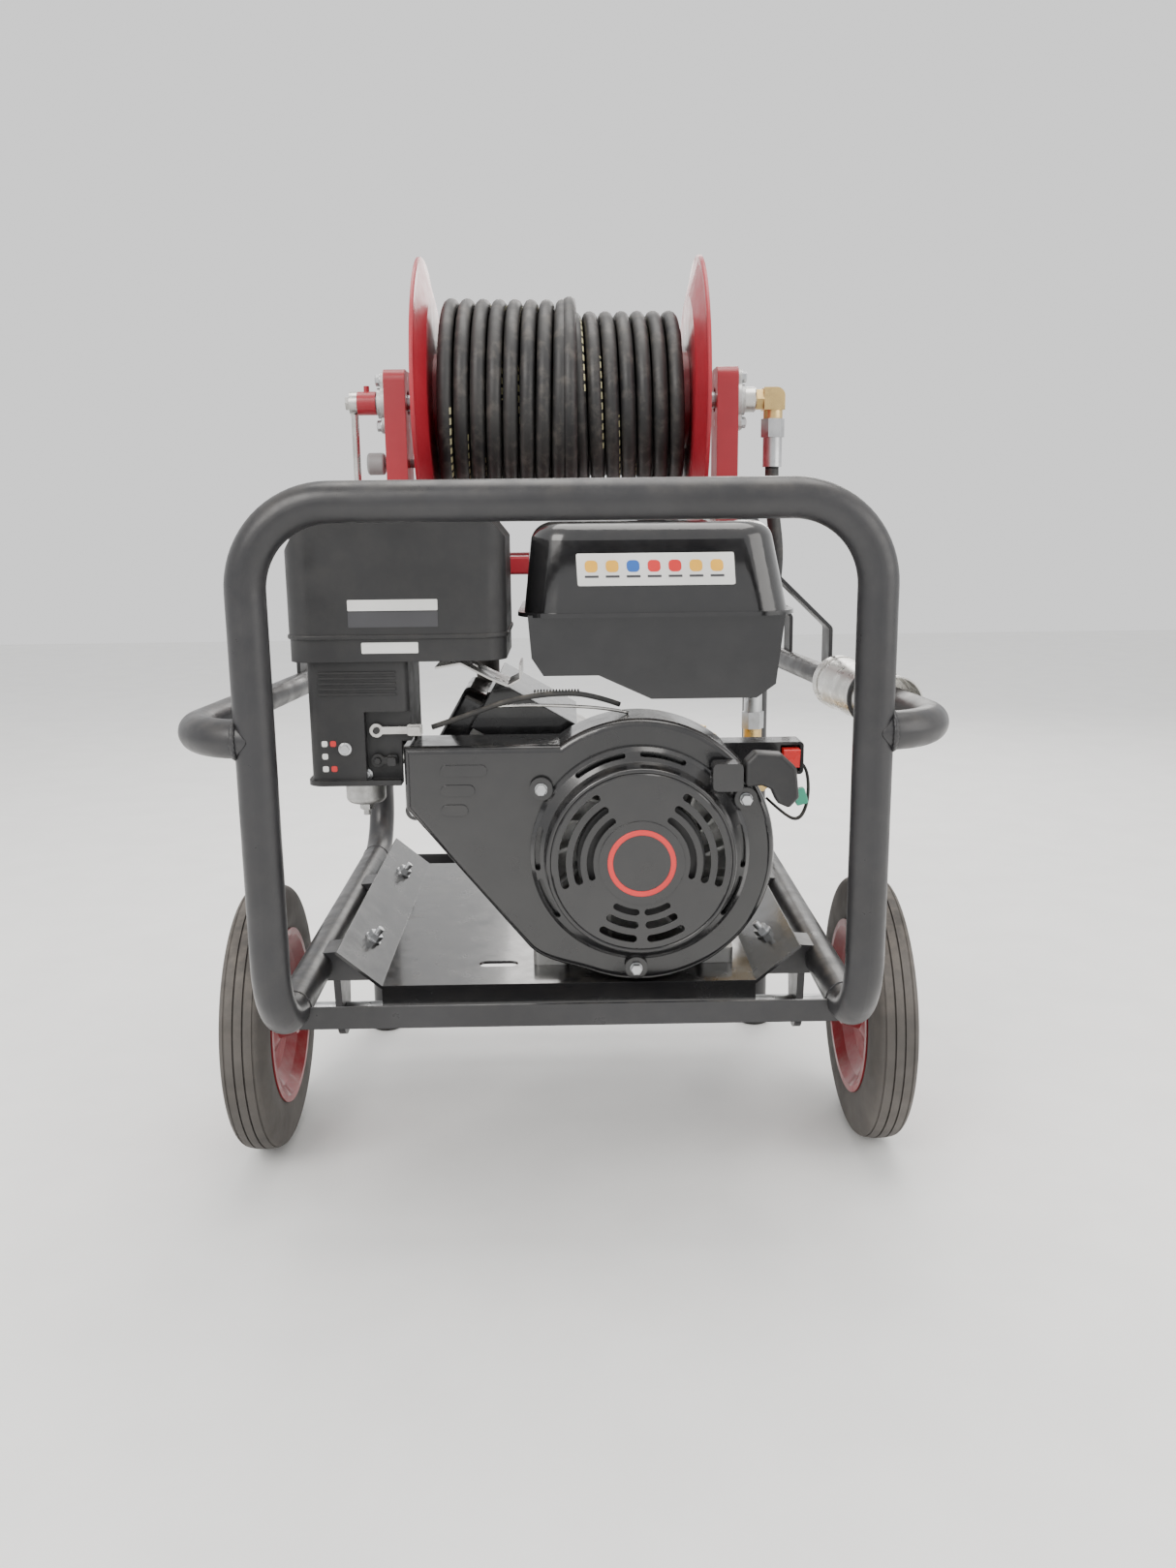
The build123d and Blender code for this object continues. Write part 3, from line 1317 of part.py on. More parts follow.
with BuildPart() as pump_head:
    add(block(HEAD_X, HEAD_Y, HEAD_Z))
    chamfer(pump_head.edges().filter_by(Axis.Y), 5)
    for valve_y in VALVE_YS:
        with BuildSketch(Plane.XY.offset(HEAD_Z[1] - 1)):
            with Locations((160, valve_y)):
                RegularPolygon(12.5, 6)
        extrude(amount=13)
    with BuildSketch(front_plane(HEAD_Y[0] + 1)):
        with Locations((165, 380)):
            Circle(13)
            Circle(9, mode=Mode.SUBTRACT)
    extrude(amount=21)

pump_head.part.label = "pump_head"
export_step(pump_head.part, "parts/pump_head.step")

with BuildPart() as unloader:
    add(block(UNLOADER_X, UNLOADER_Y, UNLOADER_Z))
    chamfer(unloader.edges().filter_by(Axis.Y).group_by(Axis.X)[-1], 6)
    with BuildSketch(Plane.XY.offset(UNLOADER_Z[1] - 1)):
        with Locations(OUTLET):
            Circle(11)
    extrude(amount=OUTLET_TOP_Z - UNLOADER_Z[1] + 1)
    with BuildSketch(front_plane(UNLOADER_Y[1] + 14)):
        with Locations((OUTLET[0], (UNLOADER_Z[0] + UNLOADER_Z[1]) / 2)):
            Circle(14)
    extrude(amount=15)
    with BuildSketch(front_plane(UNLOADER_Y[1] + 34)):
        with Locations((OUTLET[0], (UNLOADER_Z[0] + UNLOADER_Z[1]) / 2)):
            Circle(STEM_R)
    extrude(amount=21)

unloader.part.label = "unloader"
export_step(unloader.part, "parts/unloader.step")

with BuildPart() as unloader_knob:
    with BuildSketch(front_plane(UNLOADER_Y[1] + 40)):
        with Locations((OUTLET[0], (UNLOADER_Z[0] + UNLOADER_Z[1]) / 2)):
            Circle(17)
            with PolarLocations(19.5, 8):
                Circle(4.5, mode=Mode.SUBTRACT)
    extrude(amount=25)
    with BuildSketch(front_plane(UNLOADER_Y[1] + 35)):
        with Locations((OUTLET[0], (UNLOADER_Z[0] + UNLOADER_Z[1]) / 2)):
            Circle(STEM_R + RUNNING)
    extrude(amount=20, mode=Mode.SUBTRACT)

unloader_knob.part.label = "unloader_knob"
export_step(unloader_knob.part, "parts/unloader_knob.step")

# ------------------------------------------------------------------ reel
POST_Y = (82.0, 142.0)
POST_Z = (665.0, 871.0)
POST_T = 3.0
BEAM_YS = (45.0, 180.0)
BEAM_D = 30.0
BEAM_Z = (645.0, 665.0)
BEAM_HALF = 202.0
PLATE_T = 4.0
SHAFT_HOLE_R = 14.0
REEL_SHAFT_R = 9.0
POST_OUT = POST_X + POST_W / 2
BEARING_T = 10.0
BEARING_BOLT_DZ = 25.0
LOCK_Z = 769.0
LOCK_PIN_R = 5.0
LOCK_TIP_X = DRUM_HALF + 9.0
reel_axis = Axis((0, REEL_Y, REEL_Z), (1, 0, 0))

with BuildPart() as reel_stand:
    for side in (-1, 1):
        with BuildSketch(side_plane(side * POST_OUT)):
            with BuildLine():
                Polyline(
                    (POST_Y[0], POST_Z[0]),
                    (POST_Y[0], POST_Z[1]),
                    (POST_Y[1], POST_Z[1]),
                    (POST_Y[1], POST_Z[0]),
                    close=True,
                )
            make_face()
        extrude(amount=-side * POST_W)
    fillet(reel_stand.edges().filter_by(Axis.X).group_by(Axis.Z)[-1], 12)
    for side in (-1, 1):
        with BuildSketch(Plane.XY.offset(POST_Z[0])):
            with Locations((side * POST_X, (POST_Y[0] + POST_Y[1]) / 2)):
                Rectangle(POST_W - 2 * POST_T, POST_Y[1] - POST_Y[0] - 2 * POST_T)
        extrude(amount=POST_Z[1] - POST_Z[0] - 14, mode=Mode.SUBTRACT)
    for beam_y in BEAM_YS:
        with BuildSketch(side_plane(-BEAM_HALF)):
            with Locations((beam_y, (BEAM_Z[0] + BEAM_Z[1]) / 2)):
                RectangleRounded(BEAM_D, BEAM_Z[1] - BEAM_Z[0], 3)
                RectangleRounded(BEAM_D - 5, BEAM_Z[1] - BEAM_Z[0] - 5, 1, mode=Mode.SUBTRACT)
        extrude(amount=2 * BEAM_HALF)
    with BuildSketch(Plane.XY.offset(BEAM_Z[1] - PLATE_T + 4)):
        with Locations((-POST_X, (BEAM_YS[0] + BEAM_YS[1]) / 2), (POST_X, (BEAM_YS[0] + BEAM_YS[1]) / 2)):
            Rectangle(2 * (BEAM_HALF - POST_X), BEAM_YS[1] - BEAM_YS[0] + BEAM_D - 6)
    extrude(amount=PLATE_T)
    with BuildSketch(side_plane(-POST_OUT - 1)):
        with Locations((REEL_Y, REEL_Z)):
            Circle(SHAFT_HOLE_R)
    extrude(amount=2 * POST_OUT + 2, mode=Mode.SUBTRACT)
    with BuildSketch(side_plane(-POST_OUT - 1)):
        with Locations((REEL_Y, REEL_Z - BEARING_BOLT_DZ), (REEL_Y, REEL_Z + BEARING_BOLT_DZ)):
            Circle(BOLT_R + 0.1)
    extrude(amount=2 * POST_OUT + 2, mode=Mode.SUBTRACT)
    with BuildSketch(side_plane(-POST_OUT - 1)):
        with Locations((REEL_Y, LOCK_Z)):
            Circle(LOCK_PIN_R + RUNNING)
    extrude(amount=POST_W + 2, mode=Mode.SUBTRACT)

reel_stand.part.label = "reel_stand"
export_step(reel_stand.part, "parts/reel_stand.step")

BRACKET_YS = (32.0, 192.0)
BRACKET_WIDE = 40.0
BRACKET_IN_X = 168.0
BRACKET_KNEE_X = 234.0
BRACKET_SHOULDER_Z = 583.0
right_rail = rod_between((rail_x(0), 0, RAIL_Z), (rail_x(230), 230, RAIL_Z), RAIL_R)


def reel_bracket(y):
    """A folded plate from the reel's beam down to the right side rail."""
    leg_x = rail_x(y) + 4
    low_z = BEAM_Z[0] - BRACKET_T / 2
    with BuildPart() as made:
        with BuildSketch(front_plane(y + BRACKET_WIDE / 2)):
            with BuildLine():
                FilletPolyline(
                    (BRACKET_IN_X, low_z),
                    (BRACKET_KNEE_X, low_z),
                    (leg_x, BRACKET_SHOULDER_Z),
                    (leg_x, RAIL_Z + 4),
                    radius=6,
                )
            trace(line_width=BRACKET_T)
        extrude(amount=BRACKET_WIDE)
        add(right_rail, mode=Mode.SUBTRACT)
    return made.part


right_brackets = [reel_bracket(y) for y in BRACKET_YS]

with BuildPart() as reel_brackets:
    for made_bracket in right_brackets:
        add(made_bracket)
        add(mirror(made_bracket, about=Plane.YZ))

reel_brackets.part.label = "reel_brackets"
export_step(reel_brackets.part, "parts/reel_brackets.step")


def bearing_part(side):
    """A two-bolt flange bearing on a post's outer face."""
    with BuildPart() as made:
        with BuildSketch(side_plane(side * POST_OUT)):
            with Locations(Location((REEL_Y, REEL_Z), 90)):
                SlotOverall(2 * BEARING_BOLT_DZ + 18, 22)
            with Locations((REEL_Y, REEL_Z)):
                Circle(20)
        extrude(amount=side * (BEARING_T - 4))
        with BuildSketch(side_plane(side * POST_OUT)):
            with Locations((REEL_Y, REEL_Z)):
                Circle(17)
        extrude(amount=side * BEARING_T)
        with BuildSketch(side_plane(side * POST_OUT)):
            with Locations((REEL_Y, REEL_Z)):
                Circle(REEL_SHAFT_R + RUNNING)
            with Locations((REEL_Y, REEL_Z - BEARING_BOLT_DZ), (REEL_Y, REEL_Z + BEARING_BOLT_DZ)):
                Circle(BOLT_R + 0.1)
        extrude(amount=side * BEARING_T, mode=Mode.SUBTRACT)
    return made.part


bearing_pair = [bearing_part(-1), bearing_part(1)]

with BuildPart() as reel_bearings:
    for made_bearing in bearing_pair:
        add(made_bearing)

reel_bearings.part.label = "reel_bearings"
export_step(reel_bearings.part, "parts/reel_bearings.step")

reel_bolt_set = []
for side in (-1, 1):
    for bolt_z in (REEL_Z - BEARING_BOLT_DZ, REEL_Z + BEARING_BOLT_DZ):
        face = Plane(origin=(side * (POST_OUT + BEARING_T - 4), REEL_Y, bolt_z), z_dir=(side, 0, 0))
        reel_bolt_set.append(hex_bolt(face, 11, 5, BOLT_R, BEARING_T - 4 + POST_W, 8))

with BuildPart() as reel_bolts:
    for made_bolt in reel_bolt_set:
        add(made_bolt)

reel_bolts.part.label = "reel_bolts"
export_step(reel_bolts.part, "parts/reel_bolts.step")

# Turning parts of the reel.
DRUM_T = 2.0
DISH_START_R = 113.0
CRANK_END_X = -232.0
SWIVEL_X = (POST_OUT + BEARING_T, 222.0)

with BuildPart() as reel_drum:
    with BuildSketch(Plane.XY.offset(REEL_Z)):
        for side in (-1, 1):
            with BuildLine():
                Polyline(
                    (side * DRUM_HALF, REEL_Y + REEL_SHAFT_R),
                    (side * DRUM_HALF, REEL_Y + DISH_START_R),
                    (side * 150.5, REEL_Y + 147),
                    (side * 151, REEL_Y + FLANGE_R - 1.5),
                    (side * 152.5, REEL_Y + FLANGE_R),
                    (side * 155, REEL_Y + FLANGE_R),
                    (side * 155, REEL_Y + FLANGE_R - 2),
                    (side * 153, REEL_Y + FLANGE_R - 2),
                    (side * 152.7, REEL_Y + 146.4),
                    (side * (DRUM_HALF + DRUM_T), REEL_Y + DISH_START_R - 1),
                    (side * (DRUM_HALF + DRUM_T), REEL_Y + REEL_SHAFT_R),
                    close=True,
                )
            make_face()
        with Locations((0, REEL_Y + DRUM_R)):
            Rectangle(2 * DRUM_HALF + 1, DRUM_T, align=(Align.CENTER, Align.MAX))
    revolve(axis=reel_axis)

reel_drum.part.label = "reel_drum"
export_step(reel_drum.part, "parts/reel_drum.step")

reel_shaft_body = rod_between((CRANK_END_X, REEL_Y, REEL_Z), (SWIVEL_X[1] - 4, REEL_Y, REEL_Z), REEL_SHAFT_R)

with BuildPart() as reel_shaft:
    add(reel_shaft_body)

reel_shaft.part.label = "reel_shaft"
export_step(reel_shaft.part, "parts/reel_shaft.step")

# The wound hose as one closed body: four layers on the left, three on the right.
COIL_HALF = DRUM_HALF - 1.0
COIL_STEP_X = 2.0
COIL_HIGH_R = 111.0
COIL_LOW_R = 96.5

with BuildPart() as wound_hose:
    with BuildSketch(Plane.XY.offset(REEL_Z)):
        with BuildLine():
            Polyline(
                (-COIL_HALF, REEL_Y + DRUM_R),
                (-COIL_HALF, REEL_Y + COIL_HIGH_R),
                (COIL_STEP_X, REEL_Y + COIL_HIGH_R),
                (COIL_STEP_X, REEL_Y + COIL_LOW_R),
                (COIL_HALF, REEL_Y + COIL_LOW_R),
                (COIL_HALF, REEL_Y + DRUM_R),
                close=True,
            )
        make_face()
    revolve(axis=reel_axis)

wound_hose.part.label = "wound_hose"
export_step(wound_hose.part, "parts/wound_hose.step")

END_FIT_R = 9.0
end_fit_y = REEL_Y + COIL_LOW_R + END_FIT_R - 0.4
end_fit_x = COIL_STEP_X + END_FIT_R + 0.5

with BuildPart() as hose_end_fitting:
    with BuildSketch(Plane.XY.offset(REEL_Z)):
        with Locations((end_fit_x, end_fit_y)):
            Circle(END_FIT_R)
    extrude(amount=-34)
    with BuildSketch(Plane.XY.offset(REEL_Z - 34)):
        with Locations((end_fit_x, end_fit_y)):
            RegularPolygon(END_FIT_R, 6)
    extrude(amount=-12)
    with BuildSketch(Plane.XY.offset(REEL_Z - 46)):
        with Locations((end_fit_x, end_fit_y)):
            Circle(7)
    extrude(amount=-12)

hose_end_fitting.part.label = "hose_end_fitting"
export_step(hose_end_fitting.part, "parts/hose_end_fitting.step")

HUB_COLLAR_R = 13.0
HUB_COLLAR_X = (CRANK_END_X, -POST_OUT - BEARING_T - 2.0)
ARM_X = -236.5
ARM_R = 4.2
ARM_EYE_T = 9.0
ARM_DROP = 138.0
GRIP_SPINDLE_R = 4.5
GRIP_R = 14.0
HANDLE_X = (-332.0, -244.0)

with BuildPart() as crank_hub:
    with BuildSketch(side_plane(HUB_COLLAR_X[0])):
        with Locations((REEL_Y, REEL_Z)):
            Circle(HUB_COLLAR_R)
            Circle(REEL_SHAFT_R, mode=Mode.SUBTRACT)
    extrude(amount=HUB_COLLAR_X[1] - HUB_COLLAR_X[0])
    with BuildSketch(Plane.XY.offset(REEL_Z + HUB_COLLAR_R - 1)):
        with Locations((-222, REEL_Y)):
            Circle(3.2)
    extrude(amount=7)

crank_hub.part.label = "crank_hub"
export_step(crank_hub.part, "parts/crank_hub.step")

handle_z = REEL_Z - ARM_DROP

with BuildPart() as crank_arm:
    with BuildSketch(side_plane(CRANK_END_X)):
        with Locations((REEL_Y, REEL_Z)):
            Circle(HUB_COLLAR_R)
    extrude(amount=-ARM_EYE_T)
    with BuildSketch(Plane.XY.offset(REEL_Z)):
        with Locations((ARM_X, REEL_Y)):
            Circle(ARM_R)
    extrude(amount=-ARM_DROP)
    with BuildSketch(side_plane(ARM_X + ARM_EYE_T / 2)):
        with Locations((REEL_Y, handle_z)):
            Circle(8)
    extrude(amount=-ARM_EYE_T)
    with BuildSketch(side_plane(ARM_X)):
        with Locations((REEL_Y, handle_z)):
            Circle(GRIP_SPINDLE_R)
    extrude(amount=HANDLE_X[0] + 4 - ARM_X)
    with BuildSketch(side_plane(CRANK_END_X - ARM_EYE_T)):
        with Locations((REEL_Y, REEL_Z)):
            RegularPolygon(8, 6)
    extrude(amount=-5)

crank_arm.part.label = "crank_arm"
export_step(crank_arm.part, "parts/crank_arm.step")

with BuildPart() as crank_grip:
    with BuildSketch(Plane.XY.offset(handle_z)):
        with BuildLine():
            Line((HANDLE_X[0], REEL_Y), (HANDLE_X[0], REEL_Y + GRIP_R - 3))
            Spline(
                (HANDLE_X[0], REEL_Y + GRIP_R - 3),
                (HANDLE_X[0] + 24, REEL_Y + GRIP_R),
                (HANDLE_X[1] - 20, REEL_Y + GRIP_R - 2.5),
                (HANDLE_X[1], REEL_Y + GRIP_R - 1),
            )
            Line((HANDLE_X[1], REEL_Y + GRIP_R - 1), (HANDLE_X[1], REEL_Y))
            Line((HANDLE_X[1], REEL_Y), (HANDLE_X[0], REEL_Y))
        make_face()
    revolve(axis=Axis((0, REEL_Y, handle_z), (1, 0, 0)))
    fillet(crank_grip.edges().filter_by(GeomType.CIRCLE).group_by(Axis.X)[0], 3)
    with BuildSketch(side_plane(HANDLE_X[1] + 1)):
        with Locations((REEL_Y, handle_z)):
            Circle(GRIP_SPINDLE_R + RUNNING)
    extrude(amount=HANDLE_X[0] + 3 - HANDLE_X[1], mode=Mode.SUBTRACT)

crank_grip.part.label = "crank_grip"
export_step(crank_grip.part, "parts/crank_grip.step")

with BuildPart() as lock_knob:
    with BuildSketch(side_plane(-POST_OUT - 5)):
        with Locations((REEL_Y, LOCK_Z)):
            Circle(12.5)
    extrude(amount=-20)
    fillet(lock_knob.edges().filter_by(GeomType.CIRCLE), 3)
    with BuildSketch(side_plane(-POST_OUT - 6)):
        with Locations((REEL_Y, LOCK_Z)):
            Circle(LOCK_PIN_R)
    extrude(amount=POST_OUT + 6 - LOCK_TIP_X)

lock_knob.part.label = "lock_knob"
export_step(lock_knob.part, "parts/lock_knob.step")

# Swivel, elbow, couplings and the short hose from the pump to the reel.
ELBOW_DOWN_X = 242.5
ELBOW_LOW_Z = 814.6
NUT_H = 20.6
FERRULE_H = 33.0
FERRULE_R = 11.0

with BuildPart() as swivel:
    with BuildSketch(side_plane(SWIVEL_X[0])):
        with Locations((REEL_Y, REEL_Z)):
            Circle(14)
    extrude(amount=SWIVEL_X[1] - SWIVEL_X[0])
    with BuildSketch(side_plane(SWIVEL_X[0])):
        with Locations((REEL_Y, REEL_Z)):
            Circle(REEL_SHAFT_R + RUNNING)
    extrude(amount=SWIVEL_X[1] - SWIVEL_X[0] - 3, mode=Mode.SUBTRACT)
    chamfer(swivel.edges().filter_by(GeomType.CIRCLE).group_by(Axis.X)[-1], 1.5)

swivel.part.label = "swivel"
export_step(swivel.part, "parts/swivel.step")

with BuildPart() as brass_elbow:
    with BuildSketch(side_plane(SWIVEL_X[1])):
        with Locations((REEL_Y, REEL_Z)):
            RegularPolygon(12.5, 6)
    extrude(amount=9)
    with BuildSketch(Plane.XY.offset(REEL_Z - 12)):
        with Locations((ELBOW_DOWN_X, REEL_Y)):
            Rectangle(24, 24)
    extrude(amount=25)
    fillet(brass_elbow.edges().filter_by(Axis.Y).group_by(Axis.Z)[-1].sort_by(Axis.X)[-1], 10)
    with BuildSketch(Plane.XY.offset(ELBOW_LOW_Z)):
        with Locations((ELBOW_DOWN_X, REEL_Y)):
            Circle(11)
    extrude(amount=REEL_Z - 11 - ELBOW_LOW_Z)

brass_elbow.part.label = "brass_elbow"
export_step(brass_elbow.part, "parts/brass_elbow.step")


def coupling_part(x, y, start_z, side):
    """A union nut with a crimped ferrule behind it, pointing down (-1) or up (+1) from the nut."""
    with BuildPart() as made:
        with BuildSketch(Plane.XY.offset(start_z)):
            with Locations((x, y)):
                RegularPolygon(13.5, 6)
        extrude(amount=side * NUT_H)
        with BuildSketch(Plane.XY.offset(start_z + side * NUT_H)):
            with Locations((x, y)):
                Circle(FERRULE_R)
        extrude(amount=side * FERRULE_H)
    return made.part


top_coupling = coupling_part(ELBOW_DOWN_X, REEL_Y, ELBOW_LOW_Z, -1)
low_coupling = coupling_part(OUTLET[0], OUTLET[1], OUTLET_TOP_Z, 1)

with BuildPart() as hose_couplings:
    add(top_coupling)
    add(low_coupling)

hose_couplings.part.label = "hose_couplings"
export_step(hose_couplings.part, "parts/hose_couplings.step")

JUMPER_POINTS = [
    (ELBOW_DOWN_X, REEL_Y, ELBOW_LOW_Z - NUT_H - FERRULE_H),
    (ELBOW_DOWN_X, REEL_Y, 722),
    (252.5, 114, 655),
    (243, 121.5, 592),
    (OUTLET[0], OUTLET[1], 545),
    (OUTLET[0], OUTLET[1], OUTLET_TOP_Z + NUT_H + FERRULE_H),
]


def bend_radii(points):
    """A tangent radius for each corner, from its shorter run and how sharply it turns."""
    runs = [Vector(*b) - Vector(*a) for a, b in zip(points, points[1:])]
    return [
        0.45 * min(before.length, after.length) / tan(radians(before.get_angle(after) / 2))
        for before, after in zip(runs, runs[1:])
    ]


jumper_radii = bend_radii(JUMPER_POINTS)
jumper_tube = swept(JUMPER_POINTS, jumper_radii, HOSE_R)
print("jumper hose bend radii", [round(r) for r in jumper_radii])
print("jumper hose volume", round(jumper_tube.volume))

with BuildPart() as jumper_hose:
    add(jumper_tube)

jumper_hose.part.label = "jumper_hose"
export_step(jumper_hose.part, "parts/jumper_hose.step")
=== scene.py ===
from math import cos, pi, radians, sin, sqrt

import bmesh
import bpy
from mathutils import Matrix, Vector


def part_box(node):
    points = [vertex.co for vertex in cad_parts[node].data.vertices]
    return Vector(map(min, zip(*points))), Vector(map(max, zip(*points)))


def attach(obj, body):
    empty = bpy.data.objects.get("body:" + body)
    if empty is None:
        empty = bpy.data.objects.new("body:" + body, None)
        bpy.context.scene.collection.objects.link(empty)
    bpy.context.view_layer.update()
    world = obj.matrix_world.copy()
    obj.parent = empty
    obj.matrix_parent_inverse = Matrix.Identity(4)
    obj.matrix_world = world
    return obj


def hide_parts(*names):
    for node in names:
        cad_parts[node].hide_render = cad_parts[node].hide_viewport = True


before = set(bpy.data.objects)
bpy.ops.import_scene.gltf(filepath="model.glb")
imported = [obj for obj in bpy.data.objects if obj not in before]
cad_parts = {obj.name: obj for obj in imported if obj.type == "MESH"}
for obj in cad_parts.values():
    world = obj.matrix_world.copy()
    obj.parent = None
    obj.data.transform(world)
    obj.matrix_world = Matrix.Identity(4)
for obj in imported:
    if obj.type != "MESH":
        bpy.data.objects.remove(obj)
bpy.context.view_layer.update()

# ------------------------------------------------------------------ camera
camera_data = bpy.data.cameras.new("camera")
camera_data.lens = 28.9
camera = bpy.data.objects.new("camera", camera_data)
camera.location = (0.004, -1.388, 0.711)
camera.rotation_euler = (radians(77.856), radians(0.624), radians(-0.948))
bpy.context.scene.collection.objects.link(camera)
bpy.context.scene.camera = camera


# ------------------------------------------------------------------ shape helpers
def link(obj):
    bpy.context.scene.collection.objects.link(obj)
    return obj


def mesh_object(name, bm, body, smooth=True):
    """Turns a bmesh into a piece that rides on that body."""
    mesh = bpy.data.meshes.new(name)
    bm.normal_update()
    bm.to_mesh(mesh)
    bm.free()
    for face in mesh.polygons:
        face.use_smooth = smooth
    obj = link(bpy.data.objects.new(name, mesh))
    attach(obj, body)
    return obj


def paint(obj, material):
    obj.data.materials.clear()
    obj.data.materials.append(material)
    return obj


def bevelled(obj, width, segments=2, angle=35):
    """Rounds the piece's sharp edges."""
    modifier = obj.modifiers.new("round", "BEVEL")
    modifier.width = width
    modifier.segments = segments
    modifier.limit_method = "ANGLE"
    modifier.angle_limit = radians(angle)
    return obj


def aligned(direction):
    """A rotation that takes +Z to that direction."""
    return Vector((0, 0, 1)).rotation_difference(Vector(direction)).to_matrix().to_4x4()


def lathe(name, body, profile, origin, direction, steps=48, closed=False):
    """A solid of revolution from (radius, height) points, or a ring where its section is closed."""
    bm = bmesh.new()
    place = Matrix.Translation(origin) @ aligned(direction)
    rings = []
    for radius, height in profile:
        if radius < 1e-6:
            rings.append([bm.verts.new(place @ Vector((0, 0, height)))])
        else:
            ring = []
            for n in range(steps):
                turn = 2 * pi * n / steps
                ring.append(bm.verts.new(place @ Vector((radius * cos(turn), radius * sin(turn), height))))
            rings.append(ring)
    pairs = list(zip(rings, rings[1:]))
    if closed:
        pairs.append((rings[-1], rings[0]))
    for low, high in pairs:
        for n in range(steps):
            m = (n + 1) % steps
            corners = [low[n % len(low)], low[m % len(low)], high[m % len(high)], high[n % len(high)]]
            unique = list(dict.fromkeys(corners))
            if len(unique) > 2:
                bm.faces.new(unique)
    for ring, flip in ((rings[0], True), (rings[-1], False)):
        if len(ring) > 2 and not closed:
            bm.faces.new(list(reversed(ring)) if flip else ring)
    bmesh.ops.recalc_face_normals(bm, faces=bm.faces)
    return mesh_object(name, bm, body)


def prism(name, body, outline, origin, right, up, depth, smooth=False):
    """An outline in metres on the plane of right and up, given thickness along their cross product."""
    right, up = Vector(right).normalized(), Vector(up).normalized()
    out = right.cross(up)
    bm = bmesh.new()
    low = [bm.verts.new(Vector(origin) + right * x + up * y) for x, y in outline]
    high = [bm.verts.new(v.co + out * depth) for v in low]
    bm.faces.new(list(reversed(low)))
    bm.faces.new(high)
    for n in range(len(low)):
        m = (n + 1) % len(low)
        bm.faces.new((low[n], low[m], high[m], high[n]))
    bmesh.ops.recalc_face_normals(bm, faces=bm.faces)
    return mesh_object(name, bm, body, smooth)


def rounded_outline(width, height, corner, steps=6):
    """Points round a rectangle with rounded corners, centred on zero."""
    points = []
    for quarter, (sx, sy) in enumerate(((1, 1), (-1, 1), (-1, -1), (1, -1))):
        for n in range(steps + 1):
            turn = (quarter + n / steps) * pi / 2
            points.append(
                (
                    sx * (width / 2 - corner) + corner * cos(turn),
                    sy * (height / 2 - corner) + corner * sin(turn),
                )
            )
    return points


def hex_outline(across, turn=0.0):
    radius = across / sqrt(3)
    return [(radius * cos(turn + n * pi / 3), radius * sin(turn + n * pi / 3)) for n in range(6)]


def across_of(direction):
    """Two directions at right angles to that one, whose cross product is that one."""
    direction = Vector(direction).normalized()
    helper = Vector((0, 0, 1)) if abs(direction.z) < 0.9 else Vector((0, 1, 0))
    right = helper.cross(direction).normalized()
    return right, direction.cross(right)


def hex_head(name, body, spot, direction, across, height, washer=0.0):
    """A hexagon head with a chamfered crown, on a washer where one is asked for."""
    direction = Vector(direction).normalized()
    right, up = across_of(direction)
    start = Vector(spot)
    pieces = []
    if washer > 0:
        pieces.append(
            lathe(
                name + "_washer",
                body,
                [(0, 0), (washer, 0), (washer, 0.0013), (washer - 0.0003, 0.0016), (0, 0.0016)],
                start,
                direction,
                32,
            )
        )
        start = start + direction * 0.0016
    head = prism(name, body, hex_outline(across), start, right, up, height)
    bevelled(head, height * 0.14)
    pieces.append(head)
    return pieces


def route_along(points, resolution=6):
    """Evenly read points along one open NURBS spline through those control points."""
    data = bpy.data.curves.new("route", "CURVE")
    data.dimensions = "3D"
    data.resolution_u = resolution
    spline = data.splines.new("NURBS")
    spline.points.add(len(points) - 1)
    for point, place in zip(spline.points, points):
        point.co = (*place, 1.0)
    spline.order_u = 3
    spline.use_endpoint_u = True
    holder = bpy.data.objects.new("route", data)
    mesh = bpy.data.meshes.new_from_object(holder)
    route = [v.co.copy() for v in mesh.vertices]
    bpy.data.objects.remove(holder)
    bpy.data.curves.remove(data)
    bpy.data.meshes.remove(mesh)
    return route


def tube(name, body, route, radius, sides=10):
    """A round bar or cable along a route, its UV in metres along it and in turns round it."""
    bm = bmesh.new()
    uv = bm.loops.layers.uv.new("along")
    right = across_of(route[1] - route[0])[0]
    rings, lengths = [], [0.0]
    for n, place in enumerate(route):
        ahead = (route[min(n + 1, len(route) - 1)] - route[max(n - 1, 0)]).normalized()
        right = (right - ahead * right.dot(ahead)).normalized()
        up = ahead.cross(right)
        if n > 0:
            lengths.append(lengths[-1] + (place - route[n - 1]).length)
        turns = [2 * pi * k / sides for k in range(sides)]
        rings.append([bm.verts.new(place + (right * cos(t) + up * sin(t)) * radius) for t in turns])
    for n in range(len(rings) - 1):
        for k in range(sides):
            m = (k + 1) % sides
            face = bm.faces.new((rings[n][k], rings[n][m], rings[n + 1][m], rings[n + 1][k]))
            shares = ((n, k), (n, k + 1), (n + 1, k + 1), (n + 1, k))
            for loop, (along, around) in zip(face.loops, shares):
                loop[uv].uv = (lengths[along], around / sides)
    bm.faces.new(list(reversed(rings[0])))
    bm.faces.new(rings[-1])
    bmesh.ops.recalc_face_normals(bm, faces=bm.faces)
    return mesh_object(name, bm, body)


def spline_curve(name, body, points, radius, resolution=6, sides=10):
    """A round bar or cable along one open NURBS spline."""
    return tube(name, body, route_along(points, resolution=resolution), radius, sides)


